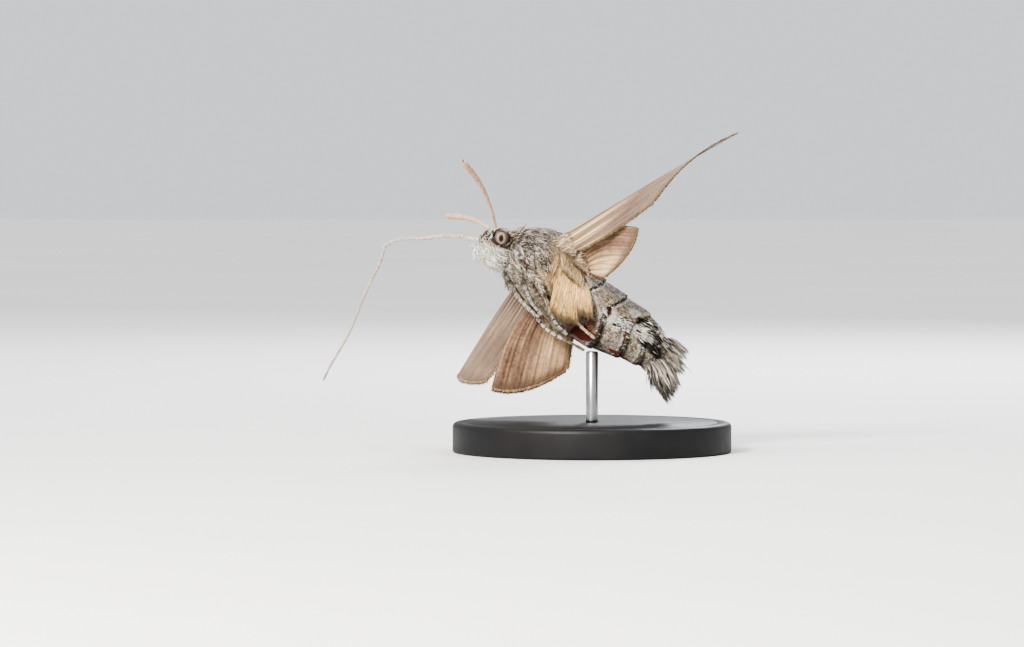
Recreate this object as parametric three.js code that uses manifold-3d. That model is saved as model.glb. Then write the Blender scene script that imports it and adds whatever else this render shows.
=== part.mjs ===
// Hummingbird hawk moth hovering on a plain display stand, life size.
// Millimetres, +Z up, origin at the centre of the stand base's underside.
// The moth faces -X with its nose up, and is banked so that its left flank looks towards -Y.
import * as THREE from "three";
import { mergeVertices } from "three/addons/utils/BufferGeometryUtils.js";
import Module from "manifold-3d";

const wasm = await Module();
wasm.setup();

// Driving dimensions, in millimetres and degrees
const SIDES = { left: 1, right: -1 };
const GAP = 0.3; // clear space kept between touching pieces
const PITCH = 36.87; // nose above the horizontal
const BANK = 20; // roll that shows the left flank and the belly
const THORAX_CENTRE = new THREE.Vector3(-5.05, 0, 19.0);

const BASE_RADIUS = 15;
const BASE_HEIGHT = 3.2;
const BASE_BEVEL = 0.5;
const ROD_RADIUS = 0.65;
const ROD_Y = -0.6;

// Stations of the trunk: place along the body (forward is plus), centre height, half depth, half width
const TRUNK = [
  { f: 5.0, u: 0.55, depth: 1.9, width: 1.7 },
  { f: 4.7, u: 0.6, depth: 2.45, width: 2.3 },
  { f: 3.9, u: 0.7, depth: 3.2, width: 3.1 },
  { f: 2.0, u: 0.85, depth: 4.1, width: 3.9 },
  { f: 0.0, u: 0.55, depth: 4.4, width: 4.2 },
  { f: -2.0, u: 0.15, depth: 4.25, width: 4.2 },
  { f: -4.3, u: -0.28, depth: 4.1, width: 4.1 },
  { f: -6.5, u: -0.1, depth: 3.95, width: 4.1 },
  { f: -8.8, u: 0.1, depth: 3.7, width: 4.0 },
  { f: -11.7, u: 0.55, depth: 3.15, width: 3.6 },
  { f: -13.6, u: 0.5, depth: 2.6, width: 3.1 },
  { f: -15.1, u: 0.3, depth: 1.95, width: 2.4 },
];
const THORAX_FRONT = 5.0;
const SEGMENT_EDGES = [-3.9, -5.5, -8.1, -10.6, -12.6, -14.0, -15.1];
const TRUNK_SIDES = 28;

// Head, with places in body axes: f forward, u up, l towards the left
const HEAD = { f: 6.2, u: -0.7, long: 2.0, high: 2.05, wide: 1.85 };
const EYE = { f: 0.0, u: 0.6, l: 1.3, radius: 0.98 };
const PALP = { f: 0.75, u: -1.05, l: 0.72, long: 1.2, high: 1.15, wide: 0.72 };

const ANTENNA_ROOT = { f: 0.9, u: 1.55, l: 0.75 };
const ANTENNA_REACH = {
  left: { f: 7.5, u: 0.7, l: 8.3 },
  right: { f: 5.5, u: 0.7, l: 8.3 },
};
const ANTENNA_BOW = 0.8;
const ANTENNA_RADIUS = { stem: 0.26, club: 0.4, tip: 0.14 };

// Proboscis route in the upright plane through the head: X and Z from the thorax's centre
const PROBOSCIS_ROUTE = [
  [-6.1, 4.2], [-7.2, 3.8], [-9.2, 4.15], [-10.7, 4.2], [-13.1, 3.95], [-16.3, 3.65],
  [-17.2, 3.1], [-17.5, 2.1], [-19.4, -2.1], [-21.2, -6.5], [-23.1, -9.8], [-23.9, -11.4],
];
const PROBOSCIS_Y = -0.3;
const PROBOSCIS_RADIUS = { root: 0.32, tip: 0.17 };
const PROBOSCIS_CUTS = [0.42, 0.75];

// Wings: root place in body axes, then world vectors from the root to the tip and to the hind corner
const WINGS = {
  forewing_left: {
    root: { f: 1.6, u: 2.6, l: 3.1 },
    tip: [19.4, -7.6, 11.4], corner: [11.0, -12.6, 4.7],
    rootChord: 2.4, bow: 0.7, bulge: 0.9, camber: 0.5, veins: 7,
  },
  hindwing_left: {
    root: { f: -1.4, u: 2.1, l: 3.4 },
    tip: [6.5, -10.9, 2.7], corner: [3.3, -6.4, -1.6],
    rootChord: 1.9, bow: 0.5, bulge: 1.2, camber: 0.3, veins: 6,
  },
  forewing_right: {
    root: { f: 1.9, u: 2.3, l: -3.3 },
    tip: [-8.6, 15.8, -13.4], corner: [-5.7, 6.6, -13.9],
    rootChord: 2.2, bow: 0.7, bulge: 0.9, camber: 0.5, veins: 7,
  },
  hindwing_right: {
    root: { f: -1.6, u: 1.9, l: -3.6 },
    tip: [-7.4, 2.1, -11.9], corner: [0.7, 1.6, -9.8],
    rootChord: 1.9, bow: 0.5, bulge: 1.1, camber: 0.3, veins: 6,
  },
};
const MEMBRANE_HALF = 0.26;
const VEIN_RISE = 0.17;
const WING_ROOT_HALF = 0.55;
const VEIN_HALF_WIDTH = 0.24; // share of the room between two veins
const WING_STEPS = 10;
const WING_SINK = 0.1; // share of the wing's length that starts inside the thorax
const GOLDEN_ANGLE = 2.39996;

// Legs folded along the belly: places along the body, and degrees from the belly line to the flank
const LEGS = {
  fore: {
    left: [[3.8, 20], [2.4, 31], [0.8, 26], [-0.8, 14], [-2.2, 9]],
    right: [[3.8, 20], [2.4, 31], [0.8, 26], [-0.8, 14], [-2.2, 9]],
  },
  mid: {
    left: [[1.8, 48], [0.2, 51], [-1.8, 40], [-4.0, 24], [-5.6, 14]],
    right: [[1.8, 44], [0.2, 47], [-1.8, 36], [-4.0, 22], [-5.6, 14]],
  },
  hind: {
    left: [[-0.8, 65], [-2.6, 64], [-4.8, 51], [-6.8, 41], [-8.2, 36]],
    right: [[-1.3, 56], [-2.9, 55], [-4.8, 44], [-6.8, 37], [-8.2, 34]],
  },
};
const LEG_RADIUS = { root: 0.44, end: 0.26 };

// Tail fan: groups of flat locks, with places in body axes and the spread at the root and the ends
const TAIL_GROUPS = [
  { root: [-14.8, -0.2, 0], end: [-19.4, -2.5, 0.1], count: 13, rootSpread: [1.2, 1.6], endSpread: [0.8, 1.9] },
  { root: [-14.6, 1.2, 1.2], end: [-17.1, 1.5, 1.5], count: 6, rootSpread: [0.6, 0.7], endSpread: [0.6, 0.8] },
  { root: [-14.6, 1.2, -1.2], end: [-17.1, 1.6, -1.9], count: 6, rootSpread: [0.6, 0.7], endSpread: [0.6, 0.8] },
  { root: [-14.8, -1.0, 0.6], end: [-16.9, -3.1, 0.8], count: 4, rootSpread: [0.4, 0.8], endSpread: [0.3, 0.9] },
];
const TAIL_LOCK = { width: 0.95, thick: 0.55 };
const TAIL_CORE = { from: [-14.8, 0.2, 0], to: [-17.0, -0.5, 0], wide: 2.0, high: 1.5 };

// Long hair over the hind coxa: each lock runs from a place on the flank down towards the belly
const FLANK_LOCKS = {
  left: {
    count: 9, first: [-0.9, 86], last: [-4.4, 102], firstEnd: [-4.5, 22], lastEnd: [-6.6, 56],
    heights: [0.6, 1.8, 1.85, 1.3],
  },
  right: {
    count: 6, first: [-5.5, 96], last: [-6.4, 110], firstEnd: [-7.6, 82], lastEnd: [-9.0, 96],
    heights: [0.6, 0.65, 0.65, 0.6],
  },
};
const FLANK_LOCK = { width: 1.15, thick: 0.5 };

// Flat tufts along each side of the hinder segments
const SIDE_TUFTS = { segments: [2, 3, 4], angles: [72, 92, 112], length: 2.2, rise: 0.75, width: 0.9, thick: 0.5 };
const LOCK_WIDTHS = [0.6, 0.95, 1, 0.7, 0.2];
const LOCK_THICKNESS = [1, 1, 1, 0.75, 0.35];
const SEED = 11;
const SLIVER = 0.012;

// Body axes in the world
const radians = THREE.MathUtils.degToRad;
const forward = new THREE.Vector3(-Math.cos(radians(PITCH)), 0, Math.sin(radians(PITCH)));
const level = new THREE.Vector3(Math.sin(radians(PITCH)), 0, Math.cos(radians(PITCH)));
const upward = level.clone().applyAxisAngle(forward, radians(BANK));
const leftward = upward.clone().cross(forward);

// World point of a place given in body axes
function place(f, u, l) {
  return THORAX_CENTRE.clone()
    .addScaledVector(forward, f)
    .addScaledVector(upward, u)
    .addScaledVector(leftward, l);
}

function direction(f, u, l) {
  return place(f, u, l).sub(THORAX_CENTRE);
}

// Smooth value of a station field at place f
function trunkAt(f, field) {
  let i = 0;
  while (i < TRUNK.length - 2 && f < TRUNK[i + 1].f) i += 1;
  const before = TRUNK[Math.max(i - 1, 0)];
  const from = TRUNK[i];
  const to = TRUNK[i + 1];
  const after = TRUNK[Math.min(i + 2, TRUNK.length - 1)];
  const t = (f - from.f) / (to.f - from.f);
  const slopeFrom = (to[field] - before[field]) / (to.f - before.f);
  const slopeTo = (after[field] - from[field]) / (after.f - from.f);
  const span = to.f - from.f;
  const a = 2 * t ** 3 - 3 * t ** 2 + 1;
  const b = t ** 3 - 2 * t ** 2 + t;
  const c = -2 * t ** 3 + 3 * t ** 2;
  const d = t ** 3 - t ** 2;
  return a * from[field] + b * span * slopeFrom + c * to[field] + d * span * slopeTo;
}

// Point of the trunk's surface, with angle 0 on the belly line and 90 on the left flank
function trunkPoint(f, angle, grow) {
  const a = radians(angle);
  const u = trunkAt(f, "u") - Math.cos(a) * (trunkAt(f, "depth") + grow);
  const l = Math.sin(a) * (trunkAt(f, "width") + grow);
  return place(f, u, l);
}

function trunkRing(f, grow) {
  const ring = [];
  for (let i = 0; i < TRUNK_SIDES; i += 1) ring.push(trunkPoint(f, (360 * i) / TRUNK_SIDES, grow));
  return ring;
}

// Closed surface through rings of equal count, each end closed by a fan
function loft(rings) {
  const sides = rings[0].length;
  const points = rings.flat();
  const centres = [rings[0], rings[rings.length - 1]].map((ring) => {
    const sum = new THREE.Vector3();
    ring.forEach((p) => sum.add(p));
    return sum.divideScalar(sides);
  });
  const first = points.push(centres[0]) - 1;
  const last = points.push(centres[1]) - 1;
  const index = [];
  for (let i = 0; i < sides; i += 1) {
    const j = (i + 1) % sides;
    for (let k = 0; k < rings.length - 1; k += 1) {
      const p = k * sides;
      const q = p + sides;
      index.push(p + i, q + i, q + j, p + i, q + j, p + j);
    }
    const end = (rings.length - 1) * sides;
    index.push(first, i, j, last, end + j, end + i);
  }
  return solidFrom(points, index);
}

// Closed body from points and triangles, turned to face out
function solidFrom(points, index) {
  const build = (triangles) =>
    new wasm.Manifold(
      new wasm.Mesh({
        numProp: 3,
        vertProperties: new Float32Array(points.flatMap((p) => [p.x, p.y, p.z])),
        triVerts: new Uint32Array(triangles),
      }),
    );
  const made = build(index);
  if (made.volume() > 0) return made;
  const turned = [];
  for (let i = 0; i < index.length; i += 3) turned.push(index[i], index[i + 2], index[i + 1]);
  return build(turned);
}

function solidOfGeometry(geometry) {
  const bare = new THREE.BufferGeometry();
  bare.setAttribute("position", geometry.getAttribute("position"));
  if (geometry.index) bare.setIndex(geometry.index);
  const merged = mergeVertices(bare, 1e-4);
  const position = merged.getAttribute("position");
  const points = [];
  for (let i = 0; i < position.count; i += 1) {
    points.push(new THREE.Vector3().fromBufferAttribute(position, i));
  }
  return solidFrom(points, Array.from(merged.index.array));
}

// Largest closed surface of a solid, which drops scraps and seals hollows
function largest(solid) {
  const bodies = solid.decompose();
  return bodies.reduce((a, b) => (b.volume() > a.volume() ? b : a));
}

// Cuts and joins leave slivers where faces cross, so each result is tidied to a small tolerance
function tidied(solid) {
  return largest(largest(solid).simplify(SLIVER));
}

function cutBy(solid, cutters) {
  return tidied(cutters.reduce((rest, cutter) => rest.subtract(cutter), solid));
}

function joined(solids) {
  return tidied(solids.reduce((whole, next) => whole.add(next)));
}

// Ellipsoid with axes along the body axes
function ellipsoid(centre, long, high, wide, across, along) {
  const sphere = new THREE.SphereGeometry(1, across, along);
  const basis = new THREE.Matrix4().makeBasis(
    forward.clone().multiplyScalar(long),
    leftward.clone().multiplyScalar(wide),
    upward.clone().multiplyScalar(high),
  );
  sphere.rotateX(Math.PI / 2);
  sphere.applyMatrix4(basis);
  sphere.translate(centre.x, centre.y, centre.z);
  return solidOfGeometry(sphere);
}

// Tube of changing radius along points, with a flattening share across the given side direction
function taperedTube(points, radii, sides, side, flat) {
  const rings = points.map((p, k) => {
    const ahead = points[Math.min(k + 1, points.length - 1)];
    const behind = points[Math.max(k - 1, 0)];
    const tangent = ahead.clone().sub(behind).normalize();
    const across = side.clone().addScaledVector(tangent, -side.dot(tangent)).normalize();
    const thick = tangent.clone().cross(across);
    const ring = [];
    for (let i = 0; i < sides; i += 1) {
      const a = (2 * Math.PI * i) / sides;
      ring.push(
        p.clone()
          .addScaledVector(across, Math.cos(a) * radii[k])
          .addScaledVector(thick, Math.sin(a) * radii[k] * flat),
      );
    }
    return ring;
  });
  return loft(rings);
}

function smoothPoints(points, count) {
  return new THREE.CatmullRomCurve3(points, false, "centripetal").getSpacedPoints(count);
}

// Trunk nodes
function trunkSolid(from, to, grow, steps) {
  const rings = [];
  for (let k = 0; k <= steps; k += 1) rings.push(trunkRing(from + ((to - from) * k) / steps, grow));
  return loft(rings);
}

const trunkGrown = trunkSolid(THORAX_FRONT + GAP, SEGMENT_EDGES[6] - GAP, GAP, 40);

function thorax() {
  return trunkSolid(THORAX_FRONT, SEGMENT_EDGES[0] + GAP / 2, 0, 16);
}

function abdomenSegment(i) {
  const from = SEGMENT_EDGES[i] - GAP / 2;
  const to = SEGMENT_EDGES[i + 1] + (i < SEGMENT_EDGES.length - 2 ? GAP / 2 : 0);
  const shares = [0, 0.12, 0.5, 0.88, 1];
  const shrink = [0.28, 0.06, 0, 0.0, 0.16];
  return loft(shares.map((s, k) => trunkRing(from + (to - from) * s, -shrink[k])));
}

// Head nodes
function headPlace(f, u, l) {
  return place(HEAD.f + f, HEAD.u + u, l);
}

function headShape(grow) {
  return ellipsoid(headPlace(0, 0, 0), HEAD.long + grow, HEAD.high + grow, HEAD.wide + grow, 20, 14);
}

function eyeShape(side, grow) {
  const r = EYE.radius + grow;
  return ellipsoid(headPlace(EYE.f, EYE.u, side * EYE.l), r, r, r, 16, 12);
}

function palpShape(side, grow) {
  const centre = headPlace(PALP.f, PALP.u, side * PALP.l);
  return ellipsoid(centre, PALP.long + grow, PALP.high + grow, PALP.wide + grow, 14, 10);
}

function head() {
  const eyes = [1, -1].map((side) => eyeShape(side, GAP));
  const palps = [1, -1].map((side) => palpShape(side, GAP));
  return cutBy(headShape(0), [trunkGrown, ...eyes, ...palps]);
}

function palp(side) {
  const middle = ellipsoid(headPlace(PALP.f, PALP.u, 0), 3, 3, GAP / 2, 16, 8);
  return cutBy(palpShape(side, 0), [trunkGrown, middle, eyeShape(side, GAP)]);
}

function antenna(name, side) {
  const reach = ANTENNA_REACH[name];
  const root = headPlace(ANTENNA_ROOT.f, ANTENNA_ROOT.u, side * ANTENNA_ROOT.l);
  const run = direction(reach.f, reach.u, side * reach.l);
  const steps = 22;
  const points = [];
  const radii = [];
  for (let k = 0; k <= steps; k += 1) {
    const t = k / steps;
    const hook = Math.max(t - 0.93, 0) * 6;
    points.push(
      root.clone()
        .addScaledVector(run, t)
        .addScaledVector(upward, ANTENNA_BOW * Math.sin(Math.PI * t) + hook * 0.6)
        .addScaledVector(forward, -hook * 0.5),
    );
    const swell = THREE.MathUtils.smoothstep(t, 0.25, 0.85);
    const narrow = THREE.MathUtils.smoothstep(t, 0.9, 1);
    const thick = THREE.MathUtils.lerp(ANTENNA_RADIUS.stem, ANTENNA_RADIUS.club, swell);
    radii.push(THREE.MathUtils.lerp(thick, ANTENNA_RADIUS.tip, narrow));
  }
  return cutBy(taperedTube(points, radii, 8, upward, 1), [headShape(GAP), eyeShape(side, GAP)]);
}

function proboscis(part) {
  const points = PROBOSCIS_ROUTE.map(([x, z]) => new THREE.Vector3(x, PROBOSCIS_Y, z).add(THORAX_CENTRE));
  const steps = 60;
  const all = smoothPoints(points, steps);
  const edges = [0, ...PROBOSCIS_CUTS, 1];
  const length = new THREE.CatmullRomCurve3(points, false, "centripetal").getLength();
  const trim = (GAP * 0.55) / length + 0.002;
  const from = part === 0 ? 0 : edges[part] + trim;
  const to = part === 2 ? 1 : edges[part + 1] - trim;
  const curve = new THREE.CatmullRomCurve3(all, false, "centripetal");
  const count = Math.round(steps * (to - from));
  const run = [];
  const radii = [];
  for (let k = 0; k <= count; k += 1) {
    const t = from + ((to - from) * k) / count;
    run.push(curve.getPointAt(t));
    radii.push(THREE.MathUtils.lerp(PROBOSCIS_RADIUS.root, PROBOSCIS_RADIUS.tip, t ** 1.5));
  }
  const tube = taperedTube(run, radii, 8, new THREE.Vector3(0, 1, 0), 1);
  return cutBy(tube, [headShape(GAP), palpShape(1, GAP), palpShape(-1, GAP)]);
}

// Wing as a four-sided patch: root line, leading edge, outer margin and hind edge
function wing(name, grow, cutters) {
  const w = WINGS[name];
  const root = place(w.root.f, w.root.u, w.root.l);
  const tip = new THREE.Vector3(...w.tip);
  const corner = new THREE.Vector3(...w.corner);
  const back = corner.clone().sub(tip.clone().multiplyScalar(corner.dot(tip) / tip.lengthSq()));
  const rootBack = forward.clone().multiplyScalar(-w.rootChord);
  const outward = tip.clone().add(corner).normalize();
  const normal = tip.clone().cross(corner).normalize();
  back.normalize();
  const columns = [];
  for (let v = 0; v < w.veins; v += 1) {
    const at = v / (w.veins - 1);
    const half = VEIN_HALF_WIDTH / (w.veins - 1);
    if (v > 0) columns.push({ t: at - half, rise: 0 });
    columns.push({ t: at, rise: VEIN_RISE });
    if (v < w.veins - 1) columns.push({ t: at + half, rise: 0 });
  }
  const at = (s, t) => {
    const leading = tip.clone().multiplyScalar(s).addScaledVector(back, -w.bow * Math.sin(Math.PI * s));
    const hind = rootBack.clone().lerp(corner, s);
    return root.clone()
      .add(leading.lerp(hind, t))
      .addScaledVector(outward, w.bulge * 4 * t * (1 - t) * s ** 3)
      .addScaledVector(normal, w.camber * 4 * t * (1 - t) * s);
  };
  const points = [];
  const rows = WING_STEPS + 1;
  const across = columns.length;
  [1, -1].forEach((face) => {
    for (let k = 0; k < rows; k += 1) {
      const s = k / WING_STEPS - WING_SINK * (1 - k / WING_STEPS);
      const thick = THREE.MathUtils.lerp(WING_ROOT_HALF, MEMBRANE_HALF, THREE.MathUtils.smoothstep(s, 0, 0.3));
      columns.forEach(({ t, rise }) => {
        const half = grow + thick + rise * (1 - 0.5 * Math.max(s, 0));
        points.push(at(s, t).addScaledVector(normal, face * half));
      });
    }
  });
  const index = [];
  const top = (k, i) => k * across + i;
  const under = (k, i) => (rows + k) * across + i;
  const quad = (a, b, c, d) => index.push(a, b, c, a, c, d);
  for (let k = 0; k < rows - 1; k += 1) {
    for (let i = 0; i < across - 1; i += 1) {
      quad(top(k, i), top(k + 1, i), top(k + 1, i + 1), top(k, i + 1));
      index.push(under(k, i), under(k + 1, i + 1), under(k + 1, i));
      index.push(under(k, i), under(k, i + 1), under(k + 1, i + 1));
    }
    quad(under(k, 0), under(k + 1, 0), top(k + 1, 0), top(k, 0));
    quad(top(k, across - 1), top(k + 1, across - 1), under(k + 1, across - 1), under(k, across - 1));
  }
  for (let i = 0; i < across - 1; i += 1) {
    quad(top(0, i), top(0, i + 1), under(0, i + 1), under(0, i));
    quad(under(rows - 1, i), under(rows - 1, i + 1), top(rows - 1, i + 1), top(rows - 1, i));
  }
  return cutBy(solidFrom(points, index), cutters);
}

// Leg lying along the trunk's surface, a gap above it
function leg(pair, name, grow) {
  const side = SIDES[name];
  const steps = 18;
  const flat = LEGS[pair][name].map(([f, angle]) => new THREE.Vector3(f, angle / 10, 0));
  const laid = smoothPoints(flat, steps);
  const points = [];
  const radii = [];
  laid.forEach((p, k) => {
    const t = k / steps;
    const joint = 0.06 * Math.cos(6 * Math.PI * t);
    const radius = THREE.MathUtils.lerp(LEG_RADIUS.root, LEG_RADIUS.end, t ** 0.8) + joint;
    radii.push(radius + grow);
    points.push(trunkPoint(p.x, side * p.y * 10, radius + GAP + 0.08));
  });
  return taperedTube(points, radii, 7, upward, 1);
}

// Flat tapered lock along its route, its broad side turned towards the facing direction
function lock(route, width, thick, facing) {
  const points = smoothPoints(route, LOCK_WIDTHS.length - 1);
  const rings = points.map((p, k) => {
    const ahead = points[Math.min(k + 1, points.length - 1)];
    const behind = points[Math.max(k - 1, 0)];
    const tangent = ahead.clone().sub(behind).normalize();
    const across = facing.clone().cross(tangent).normalize();
    const normal = tangent.clone().cross(across);
    const w = (width * LOCK_WIDTHS[k]) / 2;
    const t = (thick * LOCK_THICKNESS[k]) / 2;
    return [
      p.clone().addScaledVector(across, w),
      p.clone().addScaledVector(normal, t),
      p.clone().addScaledVector(across, -w),
      p.clone().addScaledVector(normal, -t),
    ];
  });
  return loft(rings);
}

// Repeatable random numbers from 0 to 1
function seeded(seed) {
  let state = seed;
  return () => {
    state = (state * 1664525 + 1013904223) % 4294967296;
    return state / 4294967296;
  };
}

function tailFan() {
  const random = seeded(SEED);
  const core = [TAIL_CORE.from, TAIL_CORE.to].map((p) => place(...p));
  const middle = core[0].clone().lerp(core[1], 0.5);
  const pieces = [
    taperedTube([core[0], middle, core[1]], [TAIL_CORE.wide, TAIL_CORE.wide * 0.85, 0.6], 12, leftward,
      TAIL_CORE.high / TAIL_CORE.wide),
  ];
  for (const group of TAIL_GROUPS) {
    for (let i = 0; i < group.count; i += 1) {
      const reach = Math.sqrt((i + 0.5) / group.count);
      const turn = i * GOLDEN_ANGLE;
      const shift = (spread) => [0, reach * Math.sin(turn) * spread[0], reach * Math.cos(turn) * spread[1]];
      const root = place(...group.root).add(direction(...shift(group.rootSpread)));
      const end = place(...group.end).add(direction(...shift(group.endSpread)));
      end.addScaledVector(forward, (random() - 0.35) * 1.1);
      const bend = root.clone().lerp(end, 0.5).addScaledVector(upward, 0.25);
      const facing = upward.clone().addScaledVector(leftward, (random() - 0.5) * 0.8);
      pieces.push(lock([root, bend, end], TAIL_LOCK.width, TAIL_LOCK.thick, facing));
    }
  }
  return cutBy(joined(pieces), [trunkGrown]);
}

function flankTuft(name, side, cutters) {
  const random = seeded(SEED + side);
  const { count, first, last, firstEnd, lastEnd, heights } = FLANK_LOCKS[name];
  const pieces = [];
  for (let i = 0; i < count; i += 1) {
    const t = i / (count - 1);
    const mix = (a, b) => a + (b - a) * t;
    const from = [mix(first[0], last[0]), mix(first[1], last[1])];
    const to = [mix(firstEnd[0], lastEnd[0]), mix(firstEnd[1], lastEnd[1])];
    const jitter = (random() - 0.5) * 6;
    const route = [0, 0.3, 0.65, 1].map((s, k) =>
      trunkPoint(
        from[0] + (to[0] - from[0]) * s,
        side * (from[1] + (to[1] + jitter - from[1]) * s),
        heights[k],
      ),
    );
    const middle = route[1].clone().add(route[2]).multiplyScalar(0.5);
    const axis = THORAX_CENTRE.clone().addScaledVector(forward, middle.clone().sub(THORAX_CENTRE).dot(forward));
    pieces.push(lock(route, FLANK_LOCK.width, FLANK_LOCK.thick, middle.sub(axis).normalize()));
  }
  return cutBy(joined(pieces), cutters);
}

// Abdomen segment, with its flat side tufts where it has them
function abdomenNode(i) {
  const pieces = [abdomenSegment(i)];
  if (SIDE_TUFTS.segments.includes(i)) {
    const from = (SEGMENT_EDGES[i] + SEGMENT_EDGES[i + 1]) / 2;
    for (const side of [1, -1]) {
      for (const angle of SIDE_TUFTS.angles) {
        const route = [0, 0.5, 1].map((s) =>
          trunkPoint(
            Math.max(from - SIDE_TUFTS.length * s, TRUNK[TRUNK.length - 1].f - 0.4),
            side * angle,
            -0.3 + (SIDE_TUFTS.rise + 0.3) * Math.sqrt(s),
          ),
        );
        const outward = leftward.clone().multiplyScalar(side);
        pieces.push(lock(route, SIDE_TUFTS.width, SIDE_TUFTS.thick, outward));
      }
    }
  }
  return joined(pieces);
}

function standBase() {
  const outline = [
    [0, 0], [BASE_RADIUS, 0], [BASE_RADIUS, BASE_HEIGHT - BASE_BEVEL],
    [BASE_RADIUS - BASE_BEVEL, BASE_HEIGHT], [0, BASE_HEIGHT],
  ].map(([x, y]) => new THREE.Vector2(x, y));
  const disc = new THREE.LatheGeometry(outline, 64);
  disc.rotateX(Math.PI / 2);
  return solidOfGeometry(disc);
}

function standRod() {
  const low = BASE_HEIGHT + GAP;
  const high = THORAX_CENTRE.z;
  const rod = new THREE.CylinderGeometry(ROD_RADIUS, ROD_RADIUS, high - low, 20);
  rod.rotateX(Math.PI / 2);
  rod.translate(0, ROD_Y, (low + high) / 2);
  const pieces = solidOfGeometry(rod).subtract(trunkGrown).decompose();
  return pieces.reduce((a, b) => (b.boundingBox().min[2] < a.boundingBox().min[2] ? b : a));
}

// Finishes
const FINISH = {
  fur: { color: 0x9a9284, roughness: 0.95, metalness: 0 },
  whiteFur: { color: 0xe4ded2, roughness: 0.95, metalness: 0 },
  creamFur: { color: 0xd9bd86, roughness: 0.95, metalness: 0 },
  tailFur: { color: 0x6d675f, roughness: 0.95, metalness: 0 },
  eye: { color: 0x8a7a68, roughness: 0.3, metalness: 0 },
  horn: { color: 0xb98f76, roughness: 0.6, metalness: 0 },
  forewing: { color: 0xa8825f, roughness: 0.8, metalness: 0 },
  hindwing: { color: 0xc08a5a, roughness: 0.8, metalness: 0 },
  leg: { color: 0x8d8476, roughness: 0.85, metalness: 0 },
  stand: { color: 0x1c1c1e, roughness: 0.35, metalness: 0 },
};

const group = new THREE.Group();

function addNode(name, solid, finish) {
  const mesh = solid.getMesh();
  const geometry = new THREE.BufferGeometry();
  const stride = mesh.numProp;
  const position = new Float32Array(mesh.numVert * 3);
  for (let i = 0; i < mesh.numVert; i += 1) {
    position.set(mesh.vertProperties.subarray(i * stride, i * stride + 3), i * 3);
  }
  geometry.setAttribute("position", new THREE.BufferAttribute(position, 3));
  geometry.setIndex(new THREE.BufferAttribute(new Uint32Array(mesh.triVerts), 1));
  geometry.computeVertexNormals();
  const node = new THREE.Mesh(geometry, new THREE.MeshStandardMaterial(FINISH[finish]));
  node.name = name;
  group.add(node);
}

addNode("head", head(), "fur");
addNode("thorax", thorax(), "fur");
for (let i = 0; i < SEGMENT_EDGES.length - 1; i += 1) {
  addNode(`abdomen_${i + 1}`, abdomenNode(i), "fur");
}
["base", "shaft", "tip"].forEach((part, i) => addNode(`proboscis_${part}`, proboscis(i), "horn"));
for (const [name, side] of Object.entries(SIDES)) {
  addNode(`eye_${name}`, eyeShape(side, 0), "eye");
  addNode(`palp_${name}`, palp(side), "whiteFur");
  addNode(`antenna_${name}`, antenna(name, side), "horn");
  const forewing = `forewing_${name}`;
  const hindwing = `hindwing_${name}`;
  const aboveTuft = [wing(forewing, GAP, []), wing(hindwing, GAP * 1.3, [])];
  const underTuft = Object.keys(LEGS).map((pair) => leg(pair, name, GAP * 1.3));
  addNode(forewing, wing(forewing, 0, [trunkGrown]), "forewing");
  addNode(hindwing, wing(hindwing, 0, [trunkGrown, aboveTuft[0]]), "hindwing");
  for (const pair of Object.keys(LEGS)) {
    addNode(`leg_${pair}_${name}`, cutBy(leg(pair, name, 0), [trunkGrown, ...aboveTuft]), "leg");
  }
  addNode(`flank_tuft_${name}`, flankTuft(name, side, [trunkGrown, ...aboveTuft, ...underTuft]), "creamFur");
}
addNode("tail_fan", tailFan(), "tailFur");
addNode("stand_base", standBase(), "stand");
addNode("stand_rod", standRod(), "stand");

export default group;
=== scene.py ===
"""Hummingbird hawk moth on a plain stand: finish, fur, scales, light and camera.

Lengths are in millimetres in the moth's own axes (f forward, u up, l towards its left) until a mesh is made,
where they turn into metres in the row frame.
"""
import math

import bpy
import numpy as np
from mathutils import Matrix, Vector


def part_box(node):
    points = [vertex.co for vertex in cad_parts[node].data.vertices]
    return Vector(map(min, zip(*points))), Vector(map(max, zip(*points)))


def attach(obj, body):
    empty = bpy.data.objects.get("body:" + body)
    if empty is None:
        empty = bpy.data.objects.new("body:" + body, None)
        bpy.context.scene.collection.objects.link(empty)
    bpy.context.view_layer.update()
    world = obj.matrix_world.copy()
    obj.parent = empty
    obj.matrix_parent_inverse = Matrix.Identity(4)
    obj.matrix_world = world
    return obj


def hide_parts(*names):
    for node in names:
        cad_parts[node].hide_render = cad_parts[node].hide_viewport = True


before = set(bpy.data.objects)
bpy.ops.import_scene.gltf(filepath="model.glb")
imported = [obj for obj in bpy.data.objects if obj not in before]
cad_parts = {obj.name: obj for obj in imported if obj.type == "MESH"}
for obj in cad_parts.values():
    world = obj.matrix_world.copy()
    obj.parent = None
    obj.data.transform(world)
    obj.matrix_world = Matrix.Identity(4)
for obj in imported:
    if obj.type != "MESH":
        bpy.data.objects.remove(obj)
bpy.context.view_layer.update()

MM = 0.001
SEED = 20
SIDES = ((1, "left"), (-1, "right"))
rng = np.random.default_rng(SEED)

# Pose and body sizes, as in the solids
PITCH = math.radians(36.87)
BANK = math.radians(20)
THORAX_CENTRE = np.array([-5.05, 0.0, 19.0])
FORWARD = np.array([-math.cos(PITCH), 0.0, math.sin(PITCH)])
LEVEL = np.array([math.sin(PITCH), 0.0, math.cos(PITCH)])
UPWARD = LEVEL * math.cos(BANK) + np.cross(FORWARD, LEVEL) * math.sin(BANK)
LEFTWARD = np.cross(UPWARD, FORWARD)
AXES = np.array([FORWARD, UPWARD, LEFTWARD])

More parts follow.
